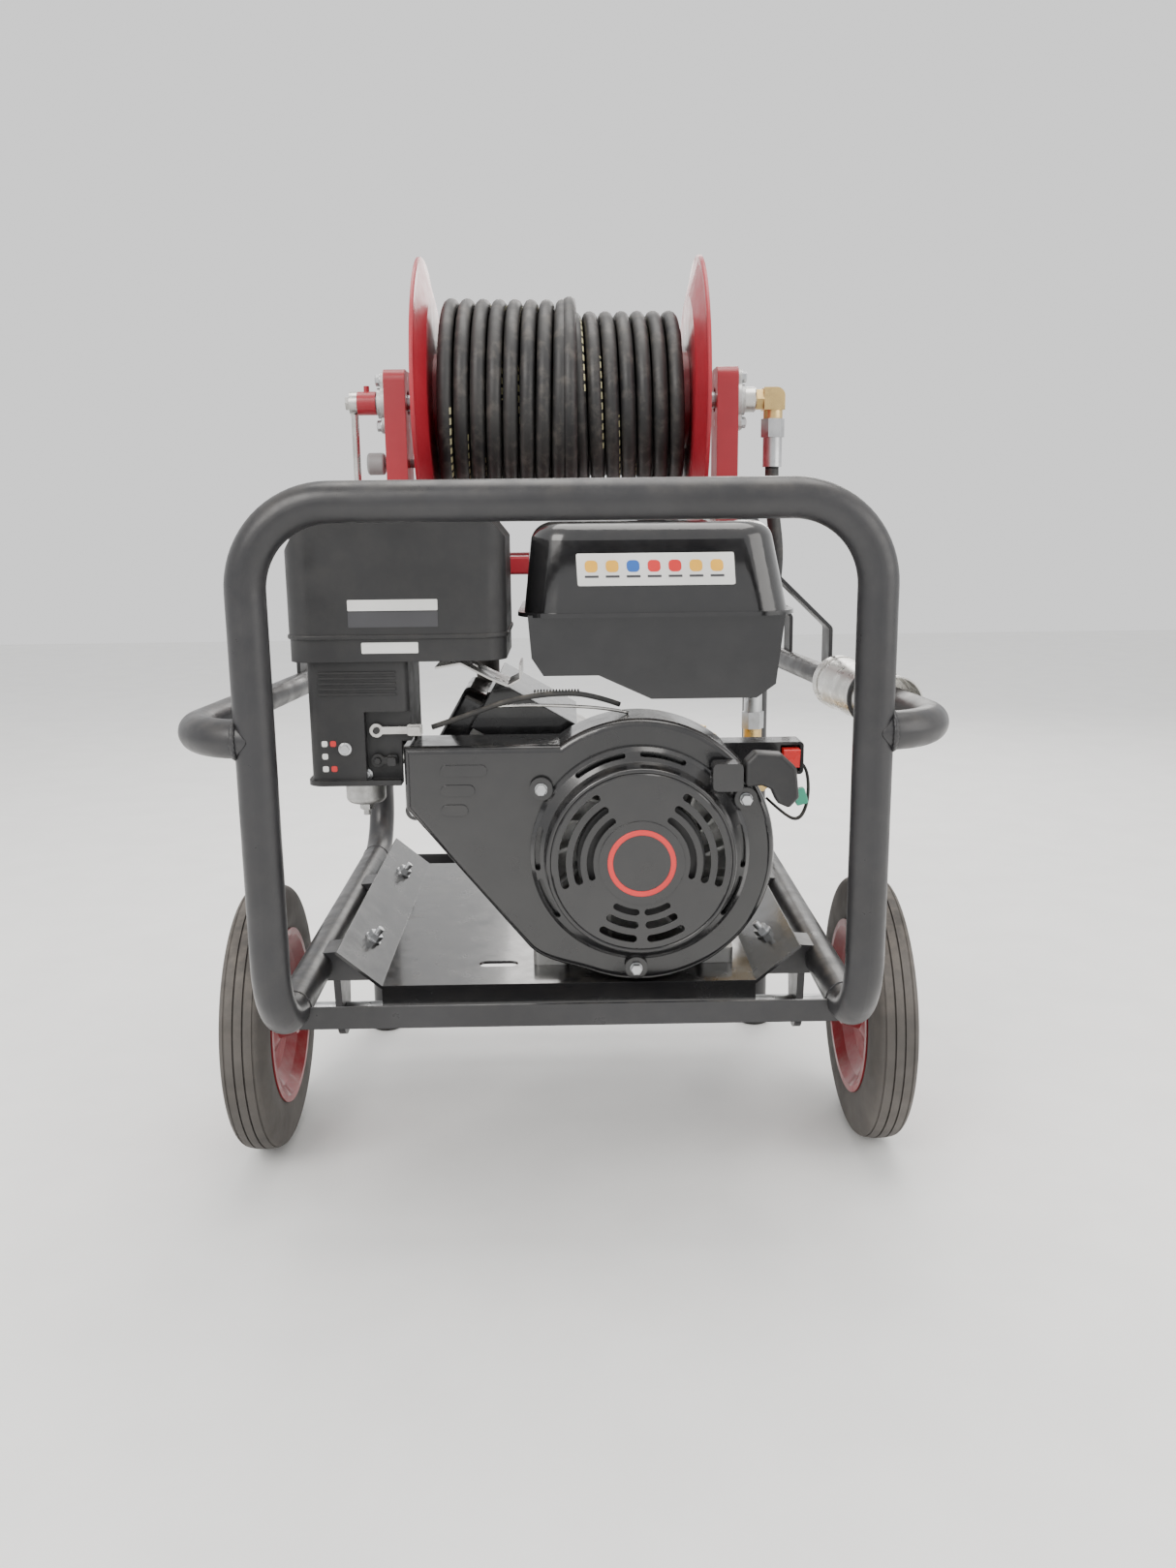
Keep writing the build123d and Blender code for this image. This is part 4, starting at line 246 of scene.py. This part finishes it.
# ------------------------------------------------------------------ materials
class Nodes:
    """A material's node tree with short names for the steps that repeat."""

    def __init__(self, name):
        self.material = bpy.data.materials.new(name)
        self.material.use_nodes = True
        self.tree = self.material.node_tree
        self.shader = self.tree.nodes["Principled BSDF"]
        self.place = self.tree.nodes.new("ShaderNodeTexCoord").outputs["Object"]

    def join(self, source, target):
        self.tree.links.new(source, target)

    def noise(self, scale, detail=3.0, rough=0.55, stretch=None):
        where = self.place
        if stretch:
            mapping = self.tree.nodes.new("ShaderNodeMapping")
            mapping.inputs["Scale"].default_value = stretch
            self.join(self.place, mapping.inputs["Vector"])
            where = mapping.outputs["Vector"]
        node = self.tree.nodes.new("ShaderNodeTexNoise")
        node.inputs["Scale"].default_value = scale
        node.inputs["Detail"].default_value = detail
        node.inputs["Roughness"].default_value = rough
        self.join(where, node.inputs["Vector"])
        return node.outputs["Fac"]

    def ranged(self, source, low, high, to_low, to_high):
        node = self.tree.nodes.new("ShaderNodeMapRange")
        for key, value in (("From Min", low), ("From Max", high), ("To Min", to_low), ("To Max", to_high)):
            node.inputs[key].default_value = value
        self.join(source, node.inputs["Value"])
        return node.outputs["Result"]

    def sum_of(self, first, second, kind="ADD"):
        node = self.tree.nodes.new("ShaderNodeMath")
        node.operation = kind
        self.join(first, node.inputs[0])
        if isinstance(second, float):
            node.inputs[1].default_value = second
        else:
            self.join(second, node.inputs[1])
        return node.outputs["Value"]

    def mixed(self, factor, first, second):
        node = self.tree.nodes.new("ShaderNodeMix")
        node.data_type = "RGBA"
        self.join(factor, node.inputs["Factor"])
        for socket, value in ((node.inputs["A"], first), (node.inputs["B"], second)):
            if isinstance(value, tuple):
                socket.default_value = (*value, 1.0)
            else:
                self.join(value, socket)
        return node.outputs["Result"]

    def bump(self, height, strength, distance, after=None):
        node = self.tree.nodes.new("ShaderNodeBump")
        node.inputs["Strength"].default_value = strength
        node.inputs["Distance"].default_value = distance
        self.join(height, node.inputs["Height"])
        if after:
            self.join(after, node.inputs["Normal"])
        return node.outputs["Normal"]

    def facing_up(self):
        geometry = self.tree.nodes.new("ShaderNodeNewGeometry")
        split = self.tree.nodes.new("ShaderNodeSeparateXYZ")
        self.join(geometry.outputs["Normal"], split.inputs["Vector"])
        return split.outputs["Z"]

    def edges(self, radius=0.0012):
        bevel = self.tree.nodes.new("ShaderNodeBevel")
        bevel.samples = 4
        bevel.inputs["Radius"].default_value = radius
        return bevel.outputs["Normal"]


def tint(colour, factor):
    return tuple(min(1.0, c * factor) for c in colour)


def coated(name, colour, rough=0.4, metallic=0.0, spread=0.25, grain=900.0, grain_depth=0.00004,
           dust=0.0, dust_colour=(0.32, 0.28, 0.23), round_edges=0.0, coat=0.0, level=0.5):
    """Paint, powder coat, moulded plastic or rubber: mottled colour, uneven gloss, fine grain, dust."""
    n = Nodes(name)
    patches = n.ranged(n.noise(9.0, 4.0), 0.35, 0.65, 0.0, 1.0)
    base = n.mixed(patches, tint(colour, 1 - spread), tint(colour, 1 + spread))
    if dust > 0:
        settled = n.ranged(n.facing_up(), 0.1, 1.0, 0.15, 1.0)
        spots = n.ranged(n.noise(55.0, 5.0, 0.65), 0.42, 0.72, 0.0, dust)
        amount = n.sum_of(settled, spots, "MULTIPLY")
        base = n.mixed(amount, base, dust_colour)
    n.join(base, n.shader.inputs["Base Color"])
    gloss = n.ranged(n.noise(38.0, 5.0, 0.6), 0.3, 0.7, max(0.03, rough - 0.09), min(1.0, rough + 0.11))
    n.join(gloss, n.shader.inputs["Roughness"])
    n.shader.inputs["Metallic"].default_value = metallic
    n.shader.inputs["Specular IOR Level"].default_value = level
    n.shader.inputs["Coat Weight"].default_value = coat
    n.shader.inputs["Coat Roughness"].default_value = 0.08
    normal = n.edges(round_edges) if round_edges > 0 else None
    n.join(n.bump(n.noise(grain, 2.0), 0.6, grain_depth, normal), n.shader.inputs["Normal"])
    return n.material


def metal(name, colour, rough=0.3, stretch=None, grain=300.0, grain_depth=0.00002, spread=0.1,
          grime=0.0, grime_colour=(0.10, 0.08, 0.06), round_edges=0.0):
    """Bare metal: machined lines or cast grain, stains and uneven polish."""
    n = Nodes(name)
    patches = n.ranged(n.noise(25.0, 5.0, 0.6), 0.35, 0.65, 0.0, 1.0)
    base = n.mixed(patches, tint(colour, 1 - spread), tint(colour, 1 + spread))
    if grime > 0:
        stains = n.ranged(n.noise(70.0, 6.0, 0.7), 0.5, 0.75, 0.0, grime)
        base = n.mixed(stains, base, grime_colour)
    n.join(base, n.shader.inputs["Base Color"])
    n.shader.inputs["Metallic"].default_value = 1.0
    gloss = n.ranged(n.noise(60.0, 4.0), 0.3, 0.7, max(0.05, rough - 0.08), min(1.0, rough + 0.15))
    n.join(gloss, n.shader.inputs["Roughness"])
    normal = n.edges(round_edges) if round_edges > 0 else None
    n.join(n.bump(n.noise(grain, 3.0, 0.6, stretch), 0.7, grain_depth, normal), n.shader.inputs["Normal"])
    return n.material


cage_paint = coated("cage_paint", (0.020, 0.020, 0.022), 0.36, 0.0, 0.15, 1100, 0.00004, dust=0.12,
                    round_edges=0.001)
bed_paint = coated("bed_paint", (0.014, 0.014, 0.015), 0.20, 0.0, 0.12, 300, 0.00001, dust=0.12, round_edges=0.001,
                   coat=0.4)
tank_paint = coated("tank_paint", (0.010, 0.010, 0.011), 0.16, 0.0, 0.1, 160, 0.00001, dust=0.06, coat=0.6)
engine_paint = coated("engine_paint", (0.011, 0.011, 0.012), 0.20, 0.0, 0.12, 500, 0.00001, dust=0.08,
                      round_edges=0.0012, coat=0.5)
plastic = coated("moulded_plastic", (0.016, 0.016, 0.017), 0.46, 0.0, 0.12, 1400, 0.00005, dust=0.12,
                 round_edges=0.0015)
muffler_paint = coated("muffler_paint", (0.03, 0.028, 0.026), 0.7, 0.0, 0.4, 500, 0.0001, dust=0.5,
                       dust_colour=(0.22, 0.12, 0.07), round_edges=0.001)
rubber = coated("rubber", (0.02, 0.02, 0.02), 0.68, 0.0, 0.3, 500, 0.00006, dust=0.4)
tyre_rubber = coated("tyre_rubber", (0.075, 0.068, 0.062), 0.78, 0.0, 0.25, 260, 0.0001, dust=0.5,
                     dust_colour=(0.22, 0.19, 0.16))
rim_paint = coated("rim_paint", (0.24, 0.010, 0.016), 0.38, 0.0, 0.3, 500, 0.00003, dust=0.35, coat=0.3)
reel_paint = coated("reel_paint", (0.34, 0.014, 0.026), 0.36, 0.0, 0.12, 420, 0.00003, dust=0.1,
                    dust_colour=(0.42, 0.16, 0.16), round_edges=0.001, coat=0.12)
switch_plastic = coated("switch_plastic", (0.62, 0.02, 0.02), 0.3, 0.0, 0.12, 900, 0.00002)
grey_plastic = coated("grey_plastic", (0.22, 0.22, 0.22), 0.45, 0.0, 0.15, 900, 0.00004)
plate_print = coated("plate_print", (0.72, 0.72, 0.70), 0.4, 0.0, 0.08, 700, 0.00002, dust=0.25)
plate_dark = coated("plate_dark", (0.05, 0.05, 0.055), 0.42, 0.0, 0.15, 700, 0.00002)
plate_red = coated("plate_red", (0.62, 0.03, 0.03), 0.4, 0.0, 0.1, 700, 0.00002)
plate_amber = coated("plate_amber", (0.80, 0.42, 0.04), 0.4, 0.0, 0.1, 700, 0.00002)
plate_blue = coated("plate_blue", (0.03, 0.12, 0.42), 0.4, 0.0, 0.1, 700, 0.00002)
cast_alloy = metal("cast_alloy", (0.50, 0.50, 0.49), 0.48, None, 420, 0.00014, 0.15, grime=0.5, round_edges=0.001)
bright_steel = metal("bright_steel", (0.58, 0.57, 0.55), 0.26, None, 240, 0.00003, 0.12, grime=0.25, round_edges=0.0006)
sleeve_steel = metal("sleeve_steel", (0.66, 0.65, 0.62), 0.26, (1, 0.05, 1), 900, 0.00003, 0.06)
zinc = metal("zinc", (0.52, 0.53, 0.54), 0.34, None, 300, 0.00003, 0.12, grime=0.3, round_edges=0.0005)
brass = metal("brass", (0.66, 0.47, 0.20), 0.30, None, 260, 0.00005, 0.14, grime=0.35, round_edges=0.0008)


def hose_material():
    """Black hose rubber with a fine cloth-wrapped grain and a broken pale line along it."""
    n = Nodes("hose_rubber")
    along = n.tree.nodes.new("ShaderNodeTexCoord").outputs["UV"]
    split = n.tree.nodes.new("ShaderNodeSeparateXYZ")
    n.join(along, split.inputs["Vector"])
    patches = n.ranged(n.noise(14.0, 4.0), 0.35, 0.65, 0.0, 1.0)
    base = n.mixed(patches, (0.012, 0.012, 0.013), (0.030, 0.029, 0.028))
    spots = n.ranged(n.noise(70.0, 5.0, 0.65), 0.5, 0.75, 0.0, 0.35)
    base = n.mixed(spots, base, (0.16, 0.14, 0.12))
    reach = n.sum_of(split.outputs["X"], 0.31, "MODULO")
    in_group = n.sum_of(reach, 0.10, "LESS_THAN")
    in_dash = n.sum_of(n.sum_of(split.outputs["X"], 0.0105, "MODULO"), 0.0068, "LESS_THAN")
    near_line = n.sum_of(split.outputs["Y"], 0.5, "COMPARE")
    near_line.node.inputs[2].default_value = 0.045
    printed = n.sum_of(n.sum_of(in_group, in_dash, "MULTIPLY"), near_line, "MULTIPLY")
    base = n.mixed(printed, base, (0.62, 0.58, 0.34))
    n.join(base, n.shader.inputs["Base Color"])
    n.join(n.ranged(n.noise(50.0, 4.0), 0.3, 0.7, 0.42, 0.6), n.shader.inputs["Roughness"])
    n.join(n.bump(n.noise(700.0, 3.0, 0.7), 0.7, 0.00012), n.shader.inputs["Normal"])
    return n.material


hose_rubber = hose_material()

# ------------------------------------------------------------------ cords
HOSE_R = 0.008
REEL = Vector((0.0, 0.112, 0.836))
COIL_END_X = 0.1325
COIL_PITCH = 2 * COIL_END_X / 15
LAYER_RADII = (0.061, 0.075, 0.089, 0.103)
TOP_TURNS = 8
POINTS_A_TURN = 16
SPLINE_SWELL = 1 / cos(pi / POINTS_A_TURN)
FITTING = Vector((0.0115, 0.2171, 0.836))


def coil_route():
    """Four layers of turns on the drum, the last one stopping half way, then down to the end fitting."""
    stops = []
    for layer, radius in enumerate(LAYER_RADII):
        leftward = layer % 2 == 0
        turns = TOP_TURNS if layer == 3 else 15
        for n in range(turns * POINTS_A_TURN):
            along = n / POINTS_A_TURN * COIL_PITCH
            x = COIL_END_X - along if leftward else along - COIL_END_X
            loose = 0.0012 * sin(n * 0.37 + layer) if layer == 3 else 0.0
            stops.append((x, radius + loose))
    points = []
    for n, (x, radius) in enumerate(stops):
        turn = -2 * pi * (n + 1) / POINTS_A_TURN
        reach = radius * SPLINE_SWELL
        points.append((x, REEL.y + reach * cos(turn), REEL.z + reach * sin(turn)))
    last_x = FITTING.x - 0.001
    for n in range(1, POINTS_A_TURN):
        turn = -2 * pi * n / POINTS_A_TURN
        share = n / (POINTS_A_TURN - 1)
        x = stops[-1][0] + (last_x - stops[-1][0]) * share
        reach = (LAYER_RADII[3] + 0.002 * share) * SPLINE_SWELL
        points.append((x, REEL.y + reach * cos(turn), REEL.z + reach * sin(turn)))
    points.append((FITTING.x, FITTING.y, FITTING.z + 0.018))
    points.append(tuple(FITTING))
    return points


coil_points = coil_route()
coil_line = route_along(coil_points, resolution=3)
wound_hose = tube("wound_hose_turns", "reel", coil_line, HOSE_R, 12)
paint(wound_hose, hose_rubber)
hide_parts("wound_hose")

JUMPER_ROUTE = [
    (0.2425, 0.112, 0.761),
    (0.2425, 0.112, 0.722),
    (0.2525, 0.114, 0.655),
    (0.243, 0.1215, 0.592),
    (0.228, 0.132, 0.545),
    (0.228, 0.132, 0.505),
]
jumper_line = route_along(JUMPER_ROUTE, resolution=12)
jumper = tube("jumper_hose_line", "frame", jumper_line, HOSE_R, 20)
paint(jumper, hose_rubber)
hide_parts("jumper_hose")

# ------------------------------------------------------------------ CAD nodes' materials
finishes = {
    cage_paint: "front_hoop rear_hoop base_rails cross_members side_rails stand_legs axle_brackets reel_brackets",
    sleeve_steel: "rail_sleeve swivel",
    rubber: "stand_feet rubber_mounts",
    zinc: "axle axle_nuts mount_bolts engine_bolts reel_bolts reel_shaft hose_couplings hose_end_fitting",
    bright_steel: "crank_arm crankshaft heat_shield choke_lever",
    tyre_rubber: "tyre_left tyre_right",
    rim_paint: "rim_left rim_right",
    bed_paint: "engine_bed",
    cast_alloy: "crankcase cylinder_head pump_body flywheel carburettor float_bowl reel_bearings",
    engine_paint: "valve_cover fan_shroud recoil_housing",
    tank_paint: "fuel_tank",
    plastic: "air_filter_cover air_filter_base control_housing recoil_grip recoil_pulley fuel_cap fuel_lever "
             "unloader_knob crank_grip",
    muffler_paint: "muffler",
    brass: "pump_head unloader brass_elbow",
    switch_plastic: "stop_switch",
    reel_paint: "reel_stand reel_drum crank_hub",
    grey_plastic: "lock_knob",
}
for material, names in finishes.items():
    for node in names.split():
        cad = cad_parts[node]
        cad.data.materials.clear()
        cad.data.materials.append(material)


# ------------------------------------------------------------------ labels and badge
def plate(name, body, spot, right, up, width, height, corner, material, thick=0.0006):
    piece = prism(name, body, rounded_outline(width, height, corner), spot, right, up, thick)
    return paint(piece, material)


RIGHT, UP = (1, 0, 0), (0, 0, 1)
CRANK = Vector((0.069, 0.0, 0.394))
RECOIL_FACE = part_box("recoil_housing")[0].y

badge = lathe(
    "starter_badge",
    "frame",
    [(0, 0), (0.0325, 0), (0.0325, 0.0012), (0.0315, 0.0018), (0.0270, 0.0018), (0.0266, 0.0012), (0, 0.0012)],
    (CRANK.x, RECOIL_FACE + 0.0016, CRANK.z),
    (0, -1, 0),
    72,
)
paint(badge, plate_dark)
ring = lathe(
    "starter_badge_ring",
    "frame",
    [(0.0268, 0), (0.0318, 0), (0.0318, 0.0022), (0.0310, 0.0026), (0.0276, 0.0026), (0.0268, 0.0022)],
    (CRANK.x, RECOIL_FACE + 0.0016, CRANK.z),
    (0, -1, 0),
    72,
    closed=True,
)
paint(ring, plate_red)

# The tank's front face slopes, so its strip lies on that slope.
SEAM_Z, TOP_Z = 0.618, 0.703
FACE_LOW = Vector((0.088, -0.209, SEAM_Z + 0.002))
FACE_HIGH = Vector((0.084, -0.195, TOP_Z))
face_up = (FACE_HIGH - FACE_LOW).normalized()
face_out = Vector((1, 0, 0)).cross(face_up).normalized()
strip_centre = Vector((0.088, 0, 0)) + Vector((0, FACE_LOW.y, FACE_LOW.z)) + face_up * 0.040
plate("tank_strip", "frame", strip_centre + face_out * 0.0002, RIGHT, face_up, 0.147, 0.030, 0.002, plate_print)
icon_inks = (plate_amber, plate_amber, plate_blue, plate_red, plate_red, plate_amber, plate_amber)
for n, ink in enumerate(icon_inks):
    where = strip_centre + Vector((-0.060 + 0.0195 * n, 0, 0)) + face_out * 0.0006
    patch_spot, line_spot = where + face_up * 0.003, where - face_up * 0.0065
    plate(f"tank_strip_patch_{n}", "frame", patch_spot, RIGHT, face_up, 0.012, 0.011, 0.004, ink, 0.0004)
    plate(f"tank_strip_line_{n}", "frame", line_spot, RIGHT, face_up, 0.013, 0.0022, 0.0005, plate_dark, 0.0003)

filter_low, filter_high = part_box("air_filter_cover")
base_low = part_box("air_filter_base")[0]
FILTER_FACE = filter_low.y
plate("filter_strip", "frame", (-0.156, FILTER_FACE + 0.0002, 0.631), RIGHT, UP, 0.082, 0.010, 0.001, plate_print)
plate("filter_strip_dark", "frame", (-0.156, FILTER_FACE + 0.0001, 0.618), RIGHT, UP, 0.082, 0.014, 0.001, plate_dark)
plate("filter_base_plate", "frame", (-0.160, base_low.y + 0.0002, 0.592), RIGHT, UP, 0.052, 0.010, 0.001, plate_print)

# Seam lip of the air filter.
seam_z = filter_low.z
lip = prism(
    "filter_seam_lip",
    "frame",
    rounded_outline(filter_high.x - filter_low.x + 0.003, filter_high.y - filter_low.y + 0.003, 0.0255),
    ((filter_low.x + filter_high.x) / 2, (filter_low.y + filter_high.y) / 2, seam_z - 0.0022),
    RIGHT,
    (0, 1, 0),
    0.0044,
)
paint(bevelled(lip, 0.0012), plastic)

# ------------------------------------------------------------------ starter and engine details
for n in range(3):
    turn = radians(90 + 120 * n)
    spot = Vector((CRANK.x + 0.0385 * cos(turn), RECOIL_FACE + 0.0030, CRANK.z + 0.0385 * sin(turn)))
    profile = [(0, 0), (0.0028, 0), (0.0024, 0.0013), (0, 0.0018)]
    rivet = lathe(f"starter_rivet_{n}", "frame", profile, spot, (0, -1, 0), 16)
    paint(rivet, engine_paint)

rim_bead = lathe(
    "starter_rim_bead",
    "frame",
    [(0.0868, 0), (0.0885, 0.0012), (0.0885, 0.0026), (0.0868, 0.0036), (0.0845, 0.0036), (0.0845, 0)],
    (CRANK.x, RECOIL_FACE + 0.0062, CRANK.z),
    (0, -1, 0),
    96,
    closed=True,
)
paint(rim_bead, engine_paint)

# Throttle rod, cable and the governor spring across the gap above the shroud.
rod = spline_curve(
    "governor_rod",
    "frame",
    [(-0.075, -0.196, 0.531), (-0.045, -0.198, 0.533), (0.0, -0.200, 0.532), (0.040, -0.200, 0.529),
     (0.060, -0.196, 0.524)],
    0.0016,
)
paint(rod, bright_steel)
cable = spline_curve(
    "throttle_cable",
    "frame",
    [(-0.126, -0.212, 0.515), (-0.095, -0.214, 0.525), (-0.050, -0.212, 0.541), (0.0, -0.207, 0.546),
     (0.030, -0.203, 0.541), (0.052, -0.196, 0.532)],
    0.0026,
)
paint(cable, rubber)
coil_points_spring = []
for n in range(121):
    share = n / 120
    turn = share * 2 * pi * 15
    coil_points_spring.append(
        (-0.030 + 0.045 * share, -0.176 + 0.0035 * cos(turn), 0.541 + 0.0035 * sin(turn))
    )
spring = spline_curve("governor_spring", "frame", coil_points_spring, 0.0006, resolution=2, sides=6)
paint(spring, bright_steel)

# Stop switch: its wires and their plug.
for n, colour in enumerate((rubber, plate_dark)):
    wire = spline_curve(
        f"switch_wire_{n}",
        "frame",
        [
            (0.229, -0.172 + 0.004 * n, 0.470),
            (0.236, -0.172 + 0.004 * n, 0.466),
            (0.240, -0.174 + 0.003 * n, 0.448),
            (0.238, -0.178 + 0.003 * n, 0.426),
            (0.230, -0.182 + 0.003 * n, 0.412),
            (0.218, -0.178 + 0.003 * n, 0.414),
            (0.200, -0.160, 0.430),
        ],
        0.0014,
    )
    paint(wire, colour)
green_plug = prism(
    "wire_plug",
    "frame",
    rounded_outline(0.012, 0.016, 0.002),
    (0.2300, -0.1765, 0.436),
    (1, 0, 0.3),
    (-0.3, 0, 1),
    0.009,
)
paint(bevelled(green_plug, 0.001), coated("plug_green", (0.05, 0.34, 0.22), 0.4, spread=0.1))

# Control housing: generic marks and nuts.
CONTROL_FACE_Y = -0.222
control_marks = (
    (-0.226, 0.502, plate_print),
    (-0.218, 0.502, plate_red),
    (-0.226, 0.490, plate_print),
    (-0.226, 0.478, plate_print),
    (-0.218, 0.478, plate_red),
)
for n, (x, z, ink) in enumerate(control_marks):
    spot = (x, CONTROL_FACE_Y - 0.0001, z)
    plate(f"control_mark_{n}", "frame", spot, RIGHT, UP, 0.0055, 0.0055, 0.0016, ink, 0.0003)
for n, spot in enumerate(((-0.207, -0.2222, 0.497), (-0.190, -0.2105, 0.470))):
    for piece in hex_head(f"control_nut_{n}", "frame", spot, (0, -1, 0), 0.008, 0.0045, 0.0062):
        paint(piece, zinc)

# Cylinder head: the spark plug's boot.
plug_spot = Vector((-0.093, -0.100, 0.447))
plug_way = Vector((-0.62, -0.55, 0.12)).normalized()
boot = lathe(
    "spark_plug_boot",
    "frame",
    [(0, 0), (0.0075, 0), (0.0075, 0.010), (0.0062, 0.014), (0.0062, 0.026), (0.0050, 0.032), (0.0036, 0.034),
     (0, 0.034)],
    plug_spot,
    plug_way,
    28,
)
paint(boot, rubber)

# Black sheet cowl over the cylinder's fins: a front plate and a roof along the cylinder.
ALONG = Vector((-cos(radians(30)), 0, sin(radians(30))))
ACROSS = Vector((sin(radians(30)), 0, cos(radians(30))))
COWL_LOW, COWL_HIGH = 0.104, 0.196      # its two ends along the cylinder, from the crankshaft
COWL_TOP = 0.066


def cowl_outline(below):
    """Corners of the cowl's section, from its top edge down to that distance from the cylinder's axis."""
    corners = ((COWL_LOW, COWL_TOP), (COWL_HIGH, COWL_TOP), (COWL_HIGH, below), (COWL_LOW, below))
    spots = [CRANK + ALONG * a + ACROSS * b for a, b in corners]
    return [(spot.x, spot.z) for spot in spots]


front_plate = prism("head_cowl_front", "frame", cowl_outline(0.012), (0, -0.139, 0), RIGHT, UP, 0.003)
paint(bevelled(front_plate, 0.0008), engine_paint)
roof = prism("head_cowl_roof", "frame", cowl_outline(0.0635), (0, 0.020, 0), RIGHT, UP, 0.159)
paint(bevelled(roof, 0.0008), engine_paint)

# Ring at the sleeve's far end.
rail_way = Vector((-0.069, 0.680, 0)).normalized()
sleeve_ring = lathe("sleeve_ring", "frame", [(0.0278, 0), (0.0302, 0), (0.0302, 0.006), (0.0278, 0.006)],
                    (0.3107, -0.150, 0.528), rail_way, 48, closed=True)
paint(bevelled(sleeve_ring, 0.0006), plastic)

# ------------------------------------------------------------------ weld beads
def weld_bead(name, body, centre, axis, radius, thick, material, steps=72):
    """A rippled bead of weld round a tube."""
    way = Vector(axis).normalized()
    right, up = across_of(axis)
    bm = bmesh.new()
    ring = []
    sides = 8
    for n in range(steps):
        turn = 2 * pi * n / steps
        out = right * cos(turn) + up * sin(turn)
        swell = thick * (1 + 0.16 * sin(n * 1.9) + 0.08 * sin(n * 0.7))
        loop = []
        for k in range(sides):
            bend = 2 * pi * k / sides
            spot = Vector(centre) + out * (radius + swell * 0.7 * cos(bend)) + way * swell * sin(bend)
            loop.append(bm.verts.new(spot))
        ring.append(loop)
    for n in range(steps):
        m = (n + 1) % steps
        for k in range(sides):
            j = (k + 1) % sides
            bm.faces.new((ring[n][k], ring[n][j], ring[m][j], ring[m][k]))
    bmesh.ops.recalc_face_normals(bm, faces=bm.faces)
    return paint(mesh_object(name, bm, body), material)


for side in (-1, 1):
    tag = "left" if side < 0 else "right"
    weld_bead(f"weld_front_rail_{tag}", "frame", (side * 0.2765, -0.340, 0.528), (1, 0, 0), 0.0168, 0.0022, cage_paint)
    for end in (-1, 1):
        where = "front" if end < 0 else "rear"
        spot = (side * 0.261, end * 0.265, 0.257)
        weld_bead(f"weld_base_{where}_{tag}", "frame", spot, (0, 1, 0), 0.0170, 0.0013, cage_paint)

# ------------------------------------------------------------------ floor and light
def area_light(name, spot, aim, size, power, warmth=1.0):
    data = bpy.data.lights.new(name, "AREA")
    data.shape = "RECTANGLE"
    data.size, data.size_y = size
    data.energy = power
    data.color = (1.0, 0.97 * warmth, 0.93 * warmth)
    lamp = link(bpy.data.objects.new(name, data))
    lamp.location = spot
    lamp.rotation_euler = (Vector(aim) - Vector(spot)).to_track_quat("-Z", "Y").to_euler()
    return lamp


floor_mesh = bmesh.new()
bmesh.ops.create_grid(floor_mesh, x_segments=2, y_segments=2, size=6.0)
floor_data = bpy.data.meshes.new("floor")
floor_mesh.to_mesh(floor_data)
floor_mesh.free()
floor = link(bpy.data.objects.new("floor", floor_data))
floor.data.materials.append(coated("floor_paint", (0.86, 0.86, 0.85), 0.75, spread=0.02, grain=60, grain_depth=0.0002))

world = bpy.data.worlds.new("studio")
world.use_nodes = True
world.node_tree.nodes["Background"].inputs["Color"].default_value = (0.95, 0.95, 0.95, 1.0)
world.node_tree.nodes["Background"].inputs["Strength"].default_value = 1.2
bpy.context.scene.world = world

area_light("key", (-1.5, -2.2, 2.4), (0, 0, 0.5), (1.6, 1.6), 70)
area_light("fill", (2.4, -1.4, 1.4), (0, 0, 0.5), (2.0, 2.0), 34)
area_light("top", (0.2, 0.3, 2.8), (0, 0, 0.5), (2.2, 1.6), 50)
area_light("rear", (0.6, 2.6, 1.8), (0, 0, 0.6), (1.8, 1.2), 32)
